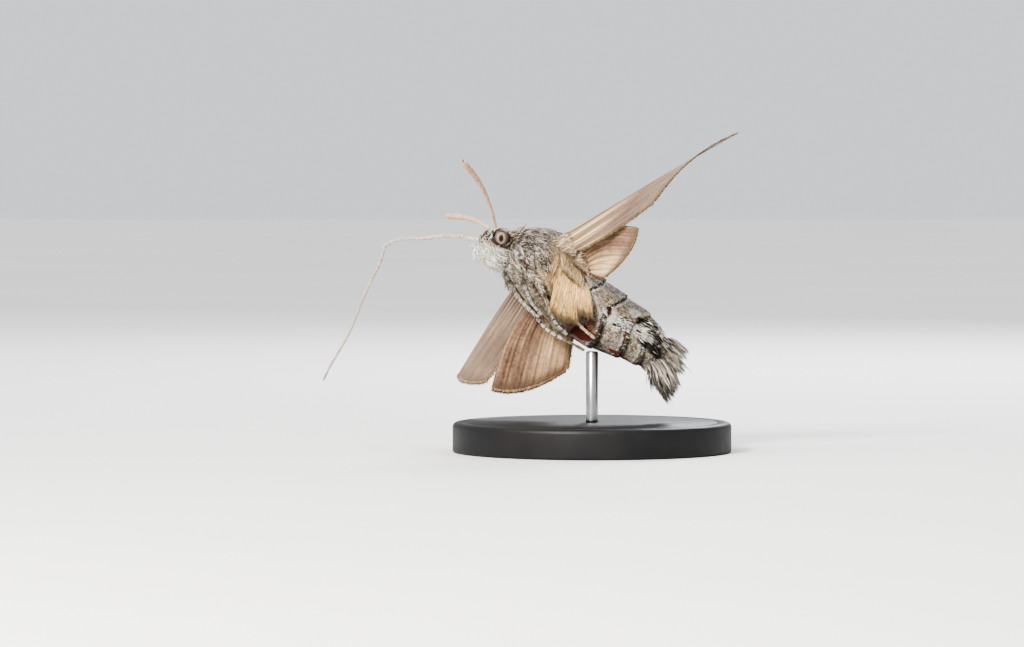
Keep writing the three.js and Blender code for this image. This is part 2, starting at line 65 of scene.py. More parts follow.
# Stations of the trunk: place, centre height, half depth, half width
TRUNK = np.array([
    [5.0, 0.55, 1.9, 1.7], [4.7, 0.6, 2.45, 2.3], [3.9, 0.7, 3.2, 3.1], [2.0, 0.85, 4.1, 3.9],
    [0.0, 0.55, 4.4, 4.2], [-2.0, 0.15, 4.25, 4.2], [-4.3, -0.28, 4.1, 4.1], [-6.5, -0.1, 3.95, 4.1],
    [-8.8, 0.1, 3.7, 4.0], [-11.7, 0.55, 3.15, 3.6], [-13.6, 0.5, 2.6, 3.1], [-15.1, 0.3, 1.95, 2.4],
])[::-1]
CENTRE_HEIGHT, HALF_DEPTH, HALF_WIDTH = 1, 2, 3
NECK_F = 5.0
TAIL_F = -15.1
SEGMENT_EDGES = np.array([-3.9, -5.5, -8.4, -11.3, -13.4, -14.6, -15.1])
SEGMENT_SLANT = 0.9

# Head, palps and eyes: centre, shifts from it on the left side, half sizes
HEAD_CENTRE = np.array([6.2, -0.7, 0.0])
HEAD_SIZE = np.array([2.0, 2.05, 1.85])
PALP_SHIFT = np.array([0.75, -1.05, 0.72])
PALP_SIZE = np.array([1.2, 1.15, 0.72])
EYE_SHIFT = np.array([0.0, 0.6, 1.34])
EYE_RADIUS = 1.02

# Depth of the skin under the solids
THORAX_COAT = 0.5
ABDOMEN_COAT = 0.3
HEAD_COAT = 0.22
PALP_COAT = 0.32
SEGMENT_STEP = 0.2


def place(f, u, l):
    """World points, in mm, of places given in the moth's axes."""
    return THORAX_CENTRE + np.stack(np.broadcast_arrays(f, u, l), axis=-1) @ AXES


def turn(vectors):
    """World directions of directions given in the moth's axes."""
    return np.asarray(vectors, float) @ AXES


def local(points):
    """Places in the moth's axes of world points in mm."""
    return (np.asarray(points) - THORAX_CENTRE) @ AXES.T


def on_head(shift, side):
    """Place in the moth's axes on the left (1) or right (-1) of the head."""
    return HEAD_CENTRE + shift * (1, 1, side)


def unit(vectors):
    return vectors / np.maximum(np.linalg.norm(vectors, axis=-1, keepdims=True), 1e-9)


def smooth(value, low, high):
    """0 below low, 1 above high, with a soft step between."""
    t = np.clip((value - low) / (high - low), 0, 1)
    return t * t * (3 - 2 * t)


def bell(value, centre, width):
    """1 at the centre, falling to 0 on both sides."""
    return np.exp(-((value - centre) / width) ** 2)


def hermite(places, values, at):
    """Smooth curve through values at rising places, read at other places."""
    slopes = np.gradient(values, places, axis=0)
    i = np.clip(np.searchsorted(places, at) - 1, 0, len(places) - 2)
    span = places[i + 1] - places[i]
    t = (at - places[i]) / span
    if values.ndim > 1:
        span, t = span[:, None], t[:, None]
    start, end = 2 * t**3 - 3 * t**2 + 1, -2 * t**3 + 3 * t**2
    leaving, arriving = t**3 - 2 * t**2 + t, t**3 - t**2
    return (start * values[i] + leaving * span * slopes[i]
            + end * values[i + 1] + arriving * span * slopes[i + 1])


def smooth_path(points, count):
    """Smooth path through points, evenly spaced."""
    points = np.asarray(points, float)
    knots = np.concatenate([[0], np.cumsum(np.linalg.norm(np.diff(points, axis=0), axis=1))])
    return hermite(knots, points, np.linspace(0, knots[-1], count))


def trunk_at(f, column):
    """Smooth value of a trunk column at the places f."""
    return hermite(TRUNK[:, 0], TRUNK[:, column], np.asarray(f, float))


def segment_place(f, angle):
    """Place along the abdomen less its segments' slant, as their edges lie further forward on the flanks."""
    slant = SEGMENT_SLANT * bell(np.abs(angle), 85, 30) * smooth(-np.asarray(f, float), 3.6, 4.6)
    return f - slant


def segment_phase(f):
    """0 at a segment's front edge to 1 at its rear edge, and its number; -1 on the thorax."""
    number = np.searchsorted(-SEGMENT_EDGES, -np.asarray(f, float)) - 1
    inside = (number >= 0) & (number < len(SEGMENT_EDGES) - 1)
    n = np.clip(number, 0, len(SEGMENT_EDGES) - 2)
    front, rear = SEGMENT_EDGES[n], SEGMENT_EDGES[n + 1]
    phase = np.clip((front - f) / (front - rear), 0, 1)
    return np.where(inside, phase, 0.0), np.where(inside, n, -1)


def skin_inset(f, angle):
    """Depth of the skin under the solids' surface."""
    on_abdomen = smooth(-np.asarray(f, float), 2.5, 5.0)
    phase, _ = segment_phase(segment_place(f, angle))
    step = SEGMENT_STEP * (1 - phase**1.4) * smooth(-np.asarray(f, float), 4.0, 6.0)
    return THORAX_COAT + (ABDOMEN_COAT - THORAX_COAT) * on_abdomen + step


def surface_point(f, angle, grow):
    """World point over the solids' surface: angle 0 on the belly line, 90 on the left flank, in degrees."""
    a = np.radians(angle)
    down = np.cos(a) * (trunk_at(f, HALF_DEPTH) + grow)
    return place(f, trunk_at(f, CENTRE_HEIGHT) - down, np.sin(a) * (trunk_at(f, HALF_WIDTH) + grow))


def trunk_point(f, angle):
    """World point on the skin."""
    return surface_point(f, angle, -skin_inset(f, angle))


def trunk_normal(f, angle):
    step = 0.05
    along = trunk_point(f - step, angle) - trunk_point(f + step, angle)
    around = trunk_point(f, angle + 1) - trunk_point(f, angle - 1)
    return unit(np.cross(around, along))


# Meshes from arrays
def mesh_object(name, points, faces):
    """Object of points in mm and faces of equal length, in metres."""
    faces = np.asarray(faces, np.int32)
    points = np.asarray(points, float) * MM
    mesh = bpy.data.meshes.new(name)
    mesh.vertices.add(len(points))
    mesh.vertices.foreach_set("co", points.astype(np.float32).ravel())
    mesh.loops.add(faces.size)
    mesh.loops.foreach_set("vertex_index", faces.ravel())
    mesh.polygons.add(len(faces))
    mesh.polygons.foreach_set("loop_start", np.arange(0, faces.size, faces.shape[1], dtype=np.int32))
    mesh.polygons.foreach_set("use_smooth", np.full(len(faces), True))
    mesh.update(calc_edges=True)
    made = bpy.data.objects.new(name, mesh)
    bpy.context.scene.collection.objects.link(made)
    return made


def mesh_points(piece):
    """Points of a piece, in mm."""
    points = np.zeros(len(piece.data.vertices) * 3)
    piece.data.vertices.foreach_get("co", points)
    return points.reshape(-1, 3) / MM


def set_attributes(piece, values):
    """One number for each point and name, for the materials."""
    for name, value in values.items():
        attribute = piece.data.attributes.new(name, "FLOAT", "POINT")
        attribute.data.foreach_set("value", np.asarray(value, np.float32).ravel())


def set_unwrap(piece, uv):
    """OFBake map from one pair of numbers for each point."""
    layer = piece.data.uv_layers.new(name="OFBake")
    index = np.zeros(len(piece.data.loops), np.int32)
    piece.data.loops.foreach_get("vertex_index", index)
    layer.data.foreach_set("uv", np.asarray(uv, np.float32)[index].ravel())


def finish_piece(piece, material, slot, nodes=()):
    """The piece with its material, riding on the root and in place of its solids."""
    piece.data.materials.clear()
    piece.data.materials.append(material)
    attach(piece, "root")
    if nodes:
        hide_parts(*nodes)
    return piece


def ring_faces(rows, columns, closed=True):
    """Quads between rows of points."""
    k, i = np.meshgrid(np.arange(rows - 1), np.arange(columns if closed else columns - 1), indexing="ij")
    j = (i + 1) % columns
    row, following = k * columns, (k + 1) * columns
    return np.stack([row + i, row + j, following + j, following + i], axis=-1).reshape(-1, 4)


def closed_form(points, rows, columns, ends=None):
    """Points and triangles of a form made of rings, with a fan over both ends."""
    points = points.reshape(-1, 3)
    if ends is None:
        ends = points[:columns].mean(axis=0), points[-columns:].mean(axis=0)
    quads = ring_faces(rows, columns)
    i = np.arange(columns)
    j = (i + 1) % columns
    first, last = rows * columns, (rows - 1) * columns
    fans = [np.stack([np.full(columns, first), j, i], axis=1),
            np.stack([np.full(columns, first + 1), last + i, last + j], axis=1)]
    return np.concatenate([points, ends]), np.concatenate([quads[:, [0, 1, 2]], quads[:, [0, 2, 3]], *fans])


def ring_angles(sides):
    """Angles of a ring's points."""
    return np.linspace(0, 2 * np.pi, sides, endpoint=False)


def square_to(tangent, direction):
    """Unit vectors closest to the direction and square to the tangents."""
    return unit(direction - np.sum(tangent * direction, axis=1, keepdims=True) * tangent)


def tapered(radii, count, last):
    """Radii that shrink over the last few places to a share of themselves."""
    return np.concatenate([radii[:-count], radii[-count:] * np.linspace(1, last, count)])


def tube_object(name, path, radii, sides, across=LEFTWARD):
    """Closed tube along a path."""
    tangent = unit(np.gradient(path, axis=0))
    side = square_to(tangent, across)
    up = np.cross(tangent, side)
    angles = ring_angles(sides)[None, :, None]
    ring = np.cos(angles) * side[:, None] + np.sin(angles) * up[:, None]
    points = path[:, None] + ring * radii[:, None, None]
    return mesh_object(name, *closed_form(points, len(path), sides, path[[0, -1]]))


# Strands: thin closed spikes of three sides, which end in a point; width of each ring by the number of rings
STRAND_PROFILE = {3: (0.75, 1.0), 4: (0.7, 1.0, 0.75), 5: (0.65, 1.0, 0.9, 0.6), 6: (0.5, 0.8, 1.0, 1.1, 0.9)}
UNWRAP_PATCH = 0.003


def strand_mesh(paths, widths, facing, flatness):
    """Points and triangles of strands along paths, with their broad sides turned to the facings."""
    count, rings, _ = paths.shape
    tangent = unit(np.gradient(paths, axis=1))
    side = unit(np.cross(facing[:, None], tangent))
    top = np.cross(tangent, side)
    half = (widths[:, None] * np.array(STRAND_PROFILE[rings]))[..., None] / 2
    body = paths[:, :-1]
    side, top = side[:, :-1], top[:, :-1]
    corners = np.stack([body - side * half, body + side * half, body + top * half * 2 * flatness], axis=2)
    points = np.concatenate([corners.reshape(count, -1, 3), paths[:, -1:]], axis=1)
    faces = [[0, 2, 1]]
    for k in range(rings - 2):
        for i in range(3):
            a, b = 3 * k + i, 3 * k + (i + 1) % 3
            faces += [[a, b, b + 3], [a, b + 3, a + 3]]
    end, tip = 3 * (rings - 2), 3 * (rings - 1)
    faces += [[end + i, end + (i + 1) % 3, tip] for i in range(3)]
    each = points.shape[1]
    triangles = np.array(faces)[None] + (np.arange(count) * each)[:, None, None]
    along = np.concatenate([np.repeat(np.linspace(0, 1, rings)[:-1], 3), [1.0]])
    return points.reshape(-1, 3), triangles.reshape(-1, 3), along


def coat_piece(name, paths, widths, facing, unwrap, marks, shade, look, nodes=(), flatness=0.4):
    """Strands as one finished piece, with their markings and an unwrap patch at each root."""
    points, triangles, along = strand_mesh(paths, widths, facing, flatness)
    piece = mesh_object(name, points, triangles)
    each = len(along)
    values = {key: np.repeat(value, each) for key, value in {**marks, "shade": shade}.items()}
    set_attributes(piece, {**values, "along": np.tile(along, len(paths))})
    corner = np.stack([np.resize([0.0, 1.0, 0.5], each), along], axis=1) * UNWRAP_PATCH
    set_unwrap(piece, (unwrap[:, None] + corner[None]).reshape(-1, 2))
    return finish_piece(piece, *look, nodes)


def bent_paths(roots, normals, flow, length, lift, settle, rings=3, sink=0.06):
    """Paths along the flow that leave the skin at the angle lift and end at the angle settle, in radians."""
    flow = unit(flow - np.sum(flow * normals, axis=1, keepdims=True) * normals)
    lift = lift * np.ones(len(roots))
    steps = [roots - normals * sink]
    share = length[:, None] / (rings - 1)
    for k in range(1, rings):
        angle = lift + (settle - lift) * (k - 1) / max(rings - 2, 1)
        direction = flow * np.cos(angle)[:, None] + normals * np.sin(angle)[:, None]
        steps.append(steps[-1] + direction * share)
    return np.stack(steps, axis=1)


def curled(paths, normals, amount):
    """Paths bent a little to one side or the other."""
    heading = unit(paths[:, -1] - paths[:, 0])
    side = np.cross(normals, heading)
    share = np.linspace(0, 1, paths.shape[1])[None, :, None] ** 2
    return paths + side[:, None] * share * rng.normal(0, amount, len(paths))[:, None, None]


def chance(count):
    """Even random numbers between 0 and 1."""
    return rng.uniform(0, 1, count)


def vary(size, count, share=0.22):
    """Random sizes near the given one."""
    return size * np.clip(rng.normal(1, share, count), 0.4, 1.7)


def grain(count):
    """Random shade of each tuft: mostly middling, some nearly black, some nearly white."""
    return np.clip(rng.normal(0.5, 0.27, count), 0, 1)


# Markings of the body, shared by the skin and the coat; the dark one also carries painted shade
MARKS = ("dark", "white", "red", "cream", "brown")
# Patches of the abdomen and thorax: place, angle, half length, half angle
WHITE_PATCHES = [
    (-5.3, 82, 0.8, 15), (-8.1, 79, 0.9, 15), (-10.2, 113, 0.7, 11), (-11.5, 80, 1.2, 13),
    (-13.0, 60, 0.5, 9), (-9.6, 66, 0.45, 7),
]
# Black spots, the first of them a painted shadow in the gap between the side tufts and the tail
BLACK_SPOTS_AND_GAP_SHADOW = [
    (-13.9, 68, 1.9, 8), (-11.1, 103, 0.45, 9), (-13.4, 110, 0.4, 8), (-4.8, 92, 0.28, 5),
    (-7.6, 90, 0.28, 5), (-12.4, 92, 0.3, 6),
]
RED_PATCHES = [
    (-6.9, 25, 1.6, 19), (-10.9, 14, 0.7, 5), (-10.8, 60, 0.22, 3), (-4.9, 86, 0.28, 4), (-7.9, 84, 0.28, 4),
]
RUST_PATCHES = [(-7.3, 50, 0.75, 7)]
OCHRE_PATCHES = [(-0.7, 55, 1.3, 14), (-2.4, 60, 1.4, 10), (2.9, 40, 0.5, 5)]
PATCH_EDGE = 0.25
DORSAL_LINES = (-5.45, -8.4)
# Brown streak under the wings: places, angles there, half width and soft edge in millimetres
STREAK = ((-2.2, -0.6, 0.6, 1.4, 2.5, 3.4, 4.1), (30, 37, 43, 47, 54, 74, 95))
STREAK_HALF = 0.15
STREAK_EDGE = 0.2
TRUNK_RADIUS = 4.2


def wobble(f, angle, scale=1.0, shift=0.0):
    """Slow uneven wave over the body, between -1 and 1."""
    a = np.radians(angle)
    wave = np.sin(1.7 * f * scale + 2.3 * np.sin(a) + shift)
    wave = wave + np.sin(4.1 * f * scale - 1.9 * np.cos(a) * scale + 1.3 * shift)
    return (wave + np.sin(3.0 * a * scale + 1.1 * f + 2.1 * shift)) / 3


def blots(f, angle, patches):
    """Uneven patches at the same places on both flanks."""
    found = np.zeros_like(f)
    for place_f, place_angle, size_f, size_angle in patches:
        gap = np.hypot((f - place_f) / size_f, (np.abs(angle) - place_angle) / size_angle)
        ragged = 0.22 * wobble(f * 4, angle * 2, 1.3, place_f)
        ragged = ragged + 0.16 * np.sin(13.0 * f + 0.4 * angle) * np.sin(0.9 * angle - 7.0 * f)
        found = np.maximum(found, 1 - smooth(gap + ragged, 1 - PATCH_EDGE, 1 + PATCH_EDGE))
    return found


def raise_marks(marks, **least):
    """Bring shares up to the given ones where they are lower."""
    for key, value in least.items():
        marks[key] = np.maximum(marks[key], value)


def add_dorsal_lines(marks, along, angle):
    """Dark lines across the back with a broken white band behind each."""
    flank = np.abs(angle)
    on_back = smooth(flank, 84, 96)
    for line_f in DORSAL_LINES:
        ragged = 0.05 * np.sin(angle * 0.9) + 0.04 * np.sin(angle * 0.37 + line_f)
        band = 0.6 + 0.4 * np.sin(angle * 0.6 + line_f) * np.sin(angle * 0.23)
        band = np.clip(band * (1 - 0.55 * smooth(flank, 125, 155)) + 0.35, 0, 1)
        raise_marks(marks, dark=(1 - smooth(np.abs(along - line_f - ragged), 0.04, 0.12)) * on_back,
                    white=(1 - smooth(np.abs(along - line_f + 0.31), 0.12, 0.22)) * on_back * band)


def add_chest_marks(marks, f, angle):
    """White flecks on the chest and the ridge above it, the brown streak behind them, painted shade in the
    neck's crease.
    """
    flank = np.abs(angle)
    off_streak = np.abs(flank - np.interp(f, *STREAK)) * np.pi / 180 * TRUNK_RADIUS
    streak = 1 - smooth(off_streak + 0.07 * wobble(f * 7, angle), STREAK_HALF, STREAK_HALF + STREAK_EDGE)
    streak = streak * smooth(f, -2.6, -1.8) * (1 - smooth(f, 3.9, 4.3))
    chest = smooth(f, 0.6, 1.8) * (1 - smooth(flank, 30, 52))
    ridge = smooth(f, 1.4, 2.2) * (1 - smooth(f, 3.8, 4.4)) * bell(flank, 58, 17)
    fleck = np.sin(9.0 * f + 0.2 * angle) + np.sin(5.3 * f - 0.33 * angle) + 0.4 * wobble(f * 5, angle * 3)
    fleck = smooth(fleck, -0.2, 0.5)
    raise_marks(marks, white=(0.7 * chest + 0.95 * ridge) * fleck, brown=0.5 * ridge * (1 - fleck),
                dark=0.5 * np.maximum(chest, ridge) * (1 - fleck))
    raise_marks(marks, brown=0.9 * streak, red=0.3 * streak, dark=0.4 * streak)
    marks["white"] = marks["white"] * (1 - streak)
    # Painted shade in the crease between the head and the thorax
    neck_crease_shade = bell(f, 4.35, 0.14) * smooth(flank, 60, 80) * (1 - smooth(flank, 115, 130))
    raise_marks(marks, dark=0.7 * neck_crease_shade)


def body_marks(f, angle):
    """Shares of each marking at places of the trunk; the angle runs from -180 to 180."""
    f = np.asarray(f, float)
    flank = np.abs(angle)
    along = segment_place(f, angle)
    on_abdomen = smooth(-f, 3.6, 4.6)
    on_thorax = 1 - on_abdomen
    back = smooth(flank, 100, 140)
    belly = 1 - smooth(flank, 22, 60)
    rust = blots(f, angle, RUST_PATCHES)
    marks = {
        "dark": 0.95 * blots(f, angle, BLACK_SPOTS_AND_GAP_SHADOW), "white": blots(f, angle, WHITE_PATCHES),
        "red": np.maximum(blots(f, angle, RED_PATCHES), 0.5 * rust),
        "cream": 0.45 * blots(f, angle, OCHRE_PATCHES) * on_thorax, "brown": 0.65 * rust,
    }
    add_dorsal_lines(marks, along, angle)
    phase, _ = segment_phase(along)
    margin = smooth(phase, 0.8, 0.9) * (1 - smooth(flank, 50, 75)) * on_abdomen
    gap = smooth(phase, 0.94, 0.97) + (1 - smooth(phase, 0.03, 0.08)) * (along < -6)
    gap = np.clip(gap * (flank < 80) * on_abdomen, 0, 1)
    raise_marks(marks, white=0.7 * margin, dark=0.9 * gap * (1 - marks["red"]))
    add_chest_marks(marks, f, angle)
    shoulder = 0.35 * smooth(-f, -1.6, 0.2) * (1 - smooth(-f, 3.4, 4.4)) * smooth(flank, 70, 100) * (1 - back)
    raise_marks(marks, cream=0.1 * belly * on_thorax, brown=0.12 * back * on_thorax)
    raise_marks(marks, cream=shoulder, brown=0.3 * belly * on_abdomen)
    raise_marks(marks, cream=0.12 * (1 - belly) * on_abdomen)
    dark, red = marks["dark"], marks["red"]
    marks["white"] = marks["white"] * (1 - dark) * (1 - 0.9 * red)
    marks["cream"] = marks["cream"] * (1 - red)
    marks["red"] = red * (1 - 0.6 * dark)
    return marks


def head_marks(direction):
    """The same shares on the head, from directions in the moth's axes away from its centre."""
    direction = unit(direction)
    ahead, up, side = direction[..., 0], direction[..., 1], np.abs(direction[..., 2])
    low = 1 - smooth(up + 0.25 * ahead, -0.42, -0.12)
    rear = smooth(-ahead, 0.1, 0.5)
    crown = smooth(up, 0.5, 0.8)
    brow = smooth(ahead, 0.35, 0.6) * (1 - low) * (1 - crown)
    speck = smooth(np.sin(31 * up + 17 * side) * np.sin(23 * ahead + 5), 0.0, 0.3)
    stripe = bell(side, 0.52, 0.13) * smooth(ahead, 0.05, 0.3) * smooth(up, 0.1, 0.35)
    dark = 0.9 * brow * speck + 0.25 * rear * smooth(up, -0.1, 0.2) * (1 - crown)
    dark = dark * (1 - stripe) * (1 - low)
    white = np.max([0.97 * low, 0.85 * stripe, 0.45 * brow, 0.25 * crown], axis=0)
    brown = np.maximum(0.2 * crown, 0.5 * brow) * (1 - stripe)
    white = white * (1 - dark)
    return {"dark": dark, "white": white, "red": 0 * up, "cream": 0.12 * low + 0.1, "brown": brown}


def flank_angle(places):
    """Angle round the trunk of places in the moth's axes."""
    f = np.clip(places[..., 0], TAIL_F, NECK_F)
    across = places[..., 2] / trunk_at(f, HALF_WIDTH)
    down = (trunk_at(f, CENTRE_HEIGHT) - places[..., 1]) / trunk_at(f, HALF_DEPTH)
    return np.degrees(np.arctan2(across, down))


def marks_at(places):
    """Markings of skin points given in the moth's axes."""
    trunk = body_marks(np.clip(places[:, 0], TAIL_F, NECK_F), flank_angle(places))
    head = head_marks(places - HEAD_CENTRE)
    share = smooth(places[:, 0] + 0.1 * places[:, 1], 4.5, 4.9)
    return {key: trunk[key] * (1 - share) + head[key] * share for key in MARKS}


def even_marks(count, **shares):
    """The same or given shares for a number of hairs, and none of the other markings."""
    marks = {key: np.zeros(count) for key in MARKS}
    for key, value in shares.items():
        marks[key] = np.clip(np.broadcast_to(value, count), 0, 1)
    return marks


# Materials
class Finish:
    """A node material, with short calls for the nodes that this script uses."""

    def __init__(self, name, roughness, specular, sheen=0.0, sheen_tint=(1, 1, 1)):
        self.material = bpy.data.materials.new(name)
        self.material.use_nodes = True
        self.nodes = self.material.node_tree.nodes
        self.links = self.material.node_tree.links
        self.shader = self.nodes["Principled BSDF"]
        self.shader.inputs["Roughness"].default_value = roughness
        self.shader.inputs["Specular IOR Level"].default_value = specular
        self.shader.inputs["Sheen Weight"].default_value = sheen
        self.shader.inputs["Sheen Tint"].default_value = (*sheen_tint, 1)
        self.coordinates = self.nodes.new("ShaderNodeTexCoord").outputs["Object"]

    def feed(self, socket, value):
        """Link a socket to another one, or set it to a number or a colour."""
        if isinstance(value, bpy.types.NodeSocket):
            self.links.new(value, socket)
        elif isinstance(value, tuple):
            socket.default_value = (*value, 1)
        else:
            socket.default_value = value

    def attribute(self, name):
        node = self.nodes.new("ShaderNodeAttribute")
        node.attribute_name = name
        return node.outputs["Fac"]

    def noise(self, scale, detail, roughness=0.55, stretch=None):
        node = self.nodes.new("ShaderNodeTexNoise")
        node.inputs["Scale"].default_value = scale
        node.inputs["Detail"].default_value = detail
        node.inputs["Roughness"].default_value = roughness
        coordinates = self.coordinates
        if stretch:
            mapping = self.nodes.new("ShaderNodeMapping")
            mapping.inputs["Scale"].default_value = (1, 1, stretch)
            self.links.new(coordinates, mapping.inputs["Vector"])
            coordinates = mapping.outputs["Vector"]
        self.links.new(coordinates, node.inputs["Vector"])
        return node.outputs["Fac"]

    def cells(self, scale):
        node = self.nodes.new("ShaderNodeTexVoronoi")
        node.feature = "DISTANCE_TO_EDGE"
        node.inputs["Scale"].default_value = scale
        self.links.new(self.coordinates, node.inputs["Vector"])
        return node.outputs["Distance"]

    def ramp(self, value, *stops):
        """Colour by value; a stop is a position and a colour or a grey."""
        node = self.nodes.new("ShaderNodeValToRGB")
        elements = node.color_ramp.elements
        while len(elements) < len(stops):
            elements.new(0.5)
        for element, (position, colour) in zip(elements, stops):
            element.position = position
            element.color = (*colour, 1) if isinstance(colour, tuple) else (colour, colour, colour, 1)
        self.links.new(value, node.inputs["Fac"])
        return node.outputs["Color"]

    def mix(self, share, first, second, blend="MIX"):
        node = self.nodes.new("ShaderNodeMix")
        node.data_type = "RGBA"
        node.blend_type = blend
        for number, value in ((0, share), (6, first), (7, second)):
            self.feed(node.inputs[number], value)
        return node.outputs[2]

    def math(self, operation, first, second):
        node = self.nodes.new("ShaderNodeMath")
        node.operation = operation
        self.feed(node.inputs[0], first)
        self.feed(node.inputs[1], second)
        return node.outputs[0]

    def scaled(self, value, share):
        return self.math("MULTIPLY", value, share)

    def weighted(self, first, first_share, second, second_share):
        """Sum of two values by their weights."""
        return self.math("ADD", self.scaled(first, first_share), self.scaled(second, second_share))

    def tinted(self, colour, tints):
        """The colour turned to each tint in turn, by the share in the attribute of that name."""
        for name, tint in tints.items():
            colour = self.mix(self.attribute(name), colour, tint)
        return colour

    def shaded(self, colour, value, *stops):
        """The colour darkened by greys read at the value."""
        return self.mix(1.0, colour, self.ramp(value, *stops), "MULTIPLY")

    def colour(self, socket):
        self.links.new(socket, self.shader.inputs["Base Color"])

    def roughness(self, value, low, high):
        node = self.nodes.new("ShaderNodeMapRange")
        self.links.new(value, node.inputs["Value"])
        node.inputs["To Min"].default_value = low
        node.inputs["To Max"].default_value = high
        self.links.new(node.outputs["Result"], self.shader.inputs["Roughness"])

    def bump(self, height, distance, strength):
        node = self.nodes.new("ShaderNodeBump")
        node.inputs["Strength"].default_value = strength
        node.inputs["Distance"].default_value = distance
        self.links.new(height, node.inputs["Height"])
        self.links.new(node.outputs["Normal"], self.shader.inputs["Normal"])


# Colours of the coat, as linear light, and the tints of its markings in the order they cover each other
GREY_STEPS = (
    (0.2, (0.016, 0.012, 0.009)), (0.38, (0.10, 0.078, 0.058)), (0.54, (0.38, 0.33, 0.27)),
    (0.72, (0.80, 0.74, 0.66)),
)
# The dark tint also paints the shade in the neck's crease and in the gap before the tail
MARK_TINTS = {
    "brown": (0.17, 0.085, 0.04), "cream": (0.82, 0.54, 0.22), "white": (0.90, 0.87, 0.80),
    "red": (0.20, 0.020, 0.005), "dark": (0.012, 0.009, 0.008),
}
SKIN_CELLS = 7000
# Roughness, specular level, sheen and its tint
COAT_GLOSS = (0.62, 0.25, 0.08, (0.95, 0.9, 0.8))


def coat_colour(finish, shade, mottle_scale=1400):
    """Colour of the body from the markings, the tuft's own shade and a fine mottle."""
    tone = finish.weighted(finish.noise(mottle_scale, 3), 0.5, shade, 0.62)
    return finish.tinted(finish.ramp(finish.math("SUBTRACT", tone, 0.08), *GREY_STEPS), MARK_TINTS)


def coat_material(name, gloss=COAT_GLOSS, mottle_scale=1400, root=(0.55, 0.55), ends=(), grain_scale=5200,
                  grain_range=(0.48, 0.74), ridge_scale=9000, ridge_stretch=0.4):
    """Scales and hairs, with painted shade that darkens them towards the root, and tints towards their ends.

    The root is given as the share of colour under its painted shade and the place where that shade is gone,
    an end as two stops of its share along the hair, its strength and its tint.
    """
    finish = Finish(name, *gloss)
    colour = coat_colour(finish, finish.attribute("shade"), mottle_scale)
    along = finish.attribute("along")
    for first, last, share, tint in ends:
        colour = finish.mix(finish.scaled(finish.ramp(along, first, last), share), colour, tint)
    depth, reach = root
    # Painted shade: darker from the root out to reach, where a hair lies deepest in the coat
    finish.colour(finish.shaded(colour, along, (0.0, depth), (reach, 1)))
    finish.roughness(finish.noise(grain_scale, 2), *grain_range)
    finish.bump(finish.noise(ridge_scale, 2, stretch=ridge_stretch), 0.00002, 0.5)
    return finish.material


def skin_material():
    """Skin under the coat: the same markings, darker, with a fine grain of sockets."""
    finish = Finish("skin", roughness=0.7, specular=0.25)
    colour = coat_colour(finish, finish.noise(2600, 3))
    finish.colour(finish.shaded(colour, finish.cells(SKIN_CELLS), (0.0, 0.3), (0.4, 0.75)))
    finish.bump(finish.cells(SKIN_CELLS), 0.00003, 0.6)
    return finish.material


SKIN = skin_material()
# The root of each coat below sets the depth and the reach of its painted shade
COAT = coat_material("coat")
LONG_HAIR = coat_material("long_hair", mottle_scale=900, root=(0.62, 0.55))
# Fan hair: greyish tan at the root, deepened there by painted shade, warm cream along its length, with a
# darker tip
FAN = coat_material(
    "fan_hair", gloss=(0.5, 0.35, 0.2, (1.0, 0.92, 0.75)), mottle_scale=900, root=(0.6, 0.4),
    ends=(((0.0, 1), (0.42, 0), 0.7, (0.27, 0.19, 0.125)), ((0.8, 0), (1.0, 1), 0.18, (0.2, 0.13, 0.08))),
    grain_range=(0.4, 0.62), ridge_stretch=0.3)
# Tail hair: sooty grey, deepened by painted shade towards the root, that pales to beige at its ends
TAIL = coat_material(
    "tail_coat", gloss=(0.6, 0.3, 0.2, (0.9, 0.88, 0.85)), mottle_scale=1200, root=(0.45, 0.5),
    ends=(((0.55, 0), (0.95, 1), 0.6, (0.74, 0.68, 0.58)),),
    grain_scale=4200, grain_range=(0.45, 0.72), ridge_scale=8000, ridge_stretch=0.3)


# Skin: trunk, head and palps as one surface
SKIN_VOXEL = 0.00014
SKIN_SMOOTHING = 2
SKIN_GRID = (190, 120)
ELLIPSOID_GRID = (40, 56)
SKIN_NODES = ["head", "thorax", "palp_left", "palp_right"] + [f"abdomen_{n}" for n in range(1, 7)]


def closed_ellipsoid(centre, size, rows, columns):
    """Points and triangles of an ellipsoid placed in the moth's axes, poles along f."""
    p, t = np.meshgrid(np.linspace(0.02, np.pi - 0.02, rows), ring_angles(columns), indexing="ij")
    f = centre[0] + size[0] * np.cos(p)
    u = centre[1] + size[1] * np.sin(p) * np.sin(t)
    l = centre[2] + size[2] * np.sin(p) * np.cos(t)
    return closed_form(place(f, u, l), rows, columns)


def joined(forms):
    """Several forms as one list of points and one of faces."""
    points, faces, start = [], [], 0
    for form_points, form_faces in forms:
        points.append(form_points)
        faces.append(form_faces + start)
        start += len(form_points)
    return np.concatenate(points), np.concatenate(faces)


def remeshed(piece):
    """The piece with one even surface in place of its crossing parts."""
    modifier = piece.modifiers.new("one_surface", "REMESH")
    modifier.mode = "VOXEL"
    modifier.voxel_size = SKIN_VOXEL
    piece.modifiers.new("soft", "SMOOTH").iterations = SKIN_SMOOTHING
    shape = piece.evaluated_get(bpy.context.evaluated_depsgraph_get())
    mesh = bpy.data.meshes.new_from_object(shape)
    piece.modifiers.clear()
    old = piece.data
    piece.data = mesh
    bpy.data.meshes.remove(old)
    mesh.polygons.foreach_set("use_smooth", np.full(len(mesh.polygons), True))
    return piece


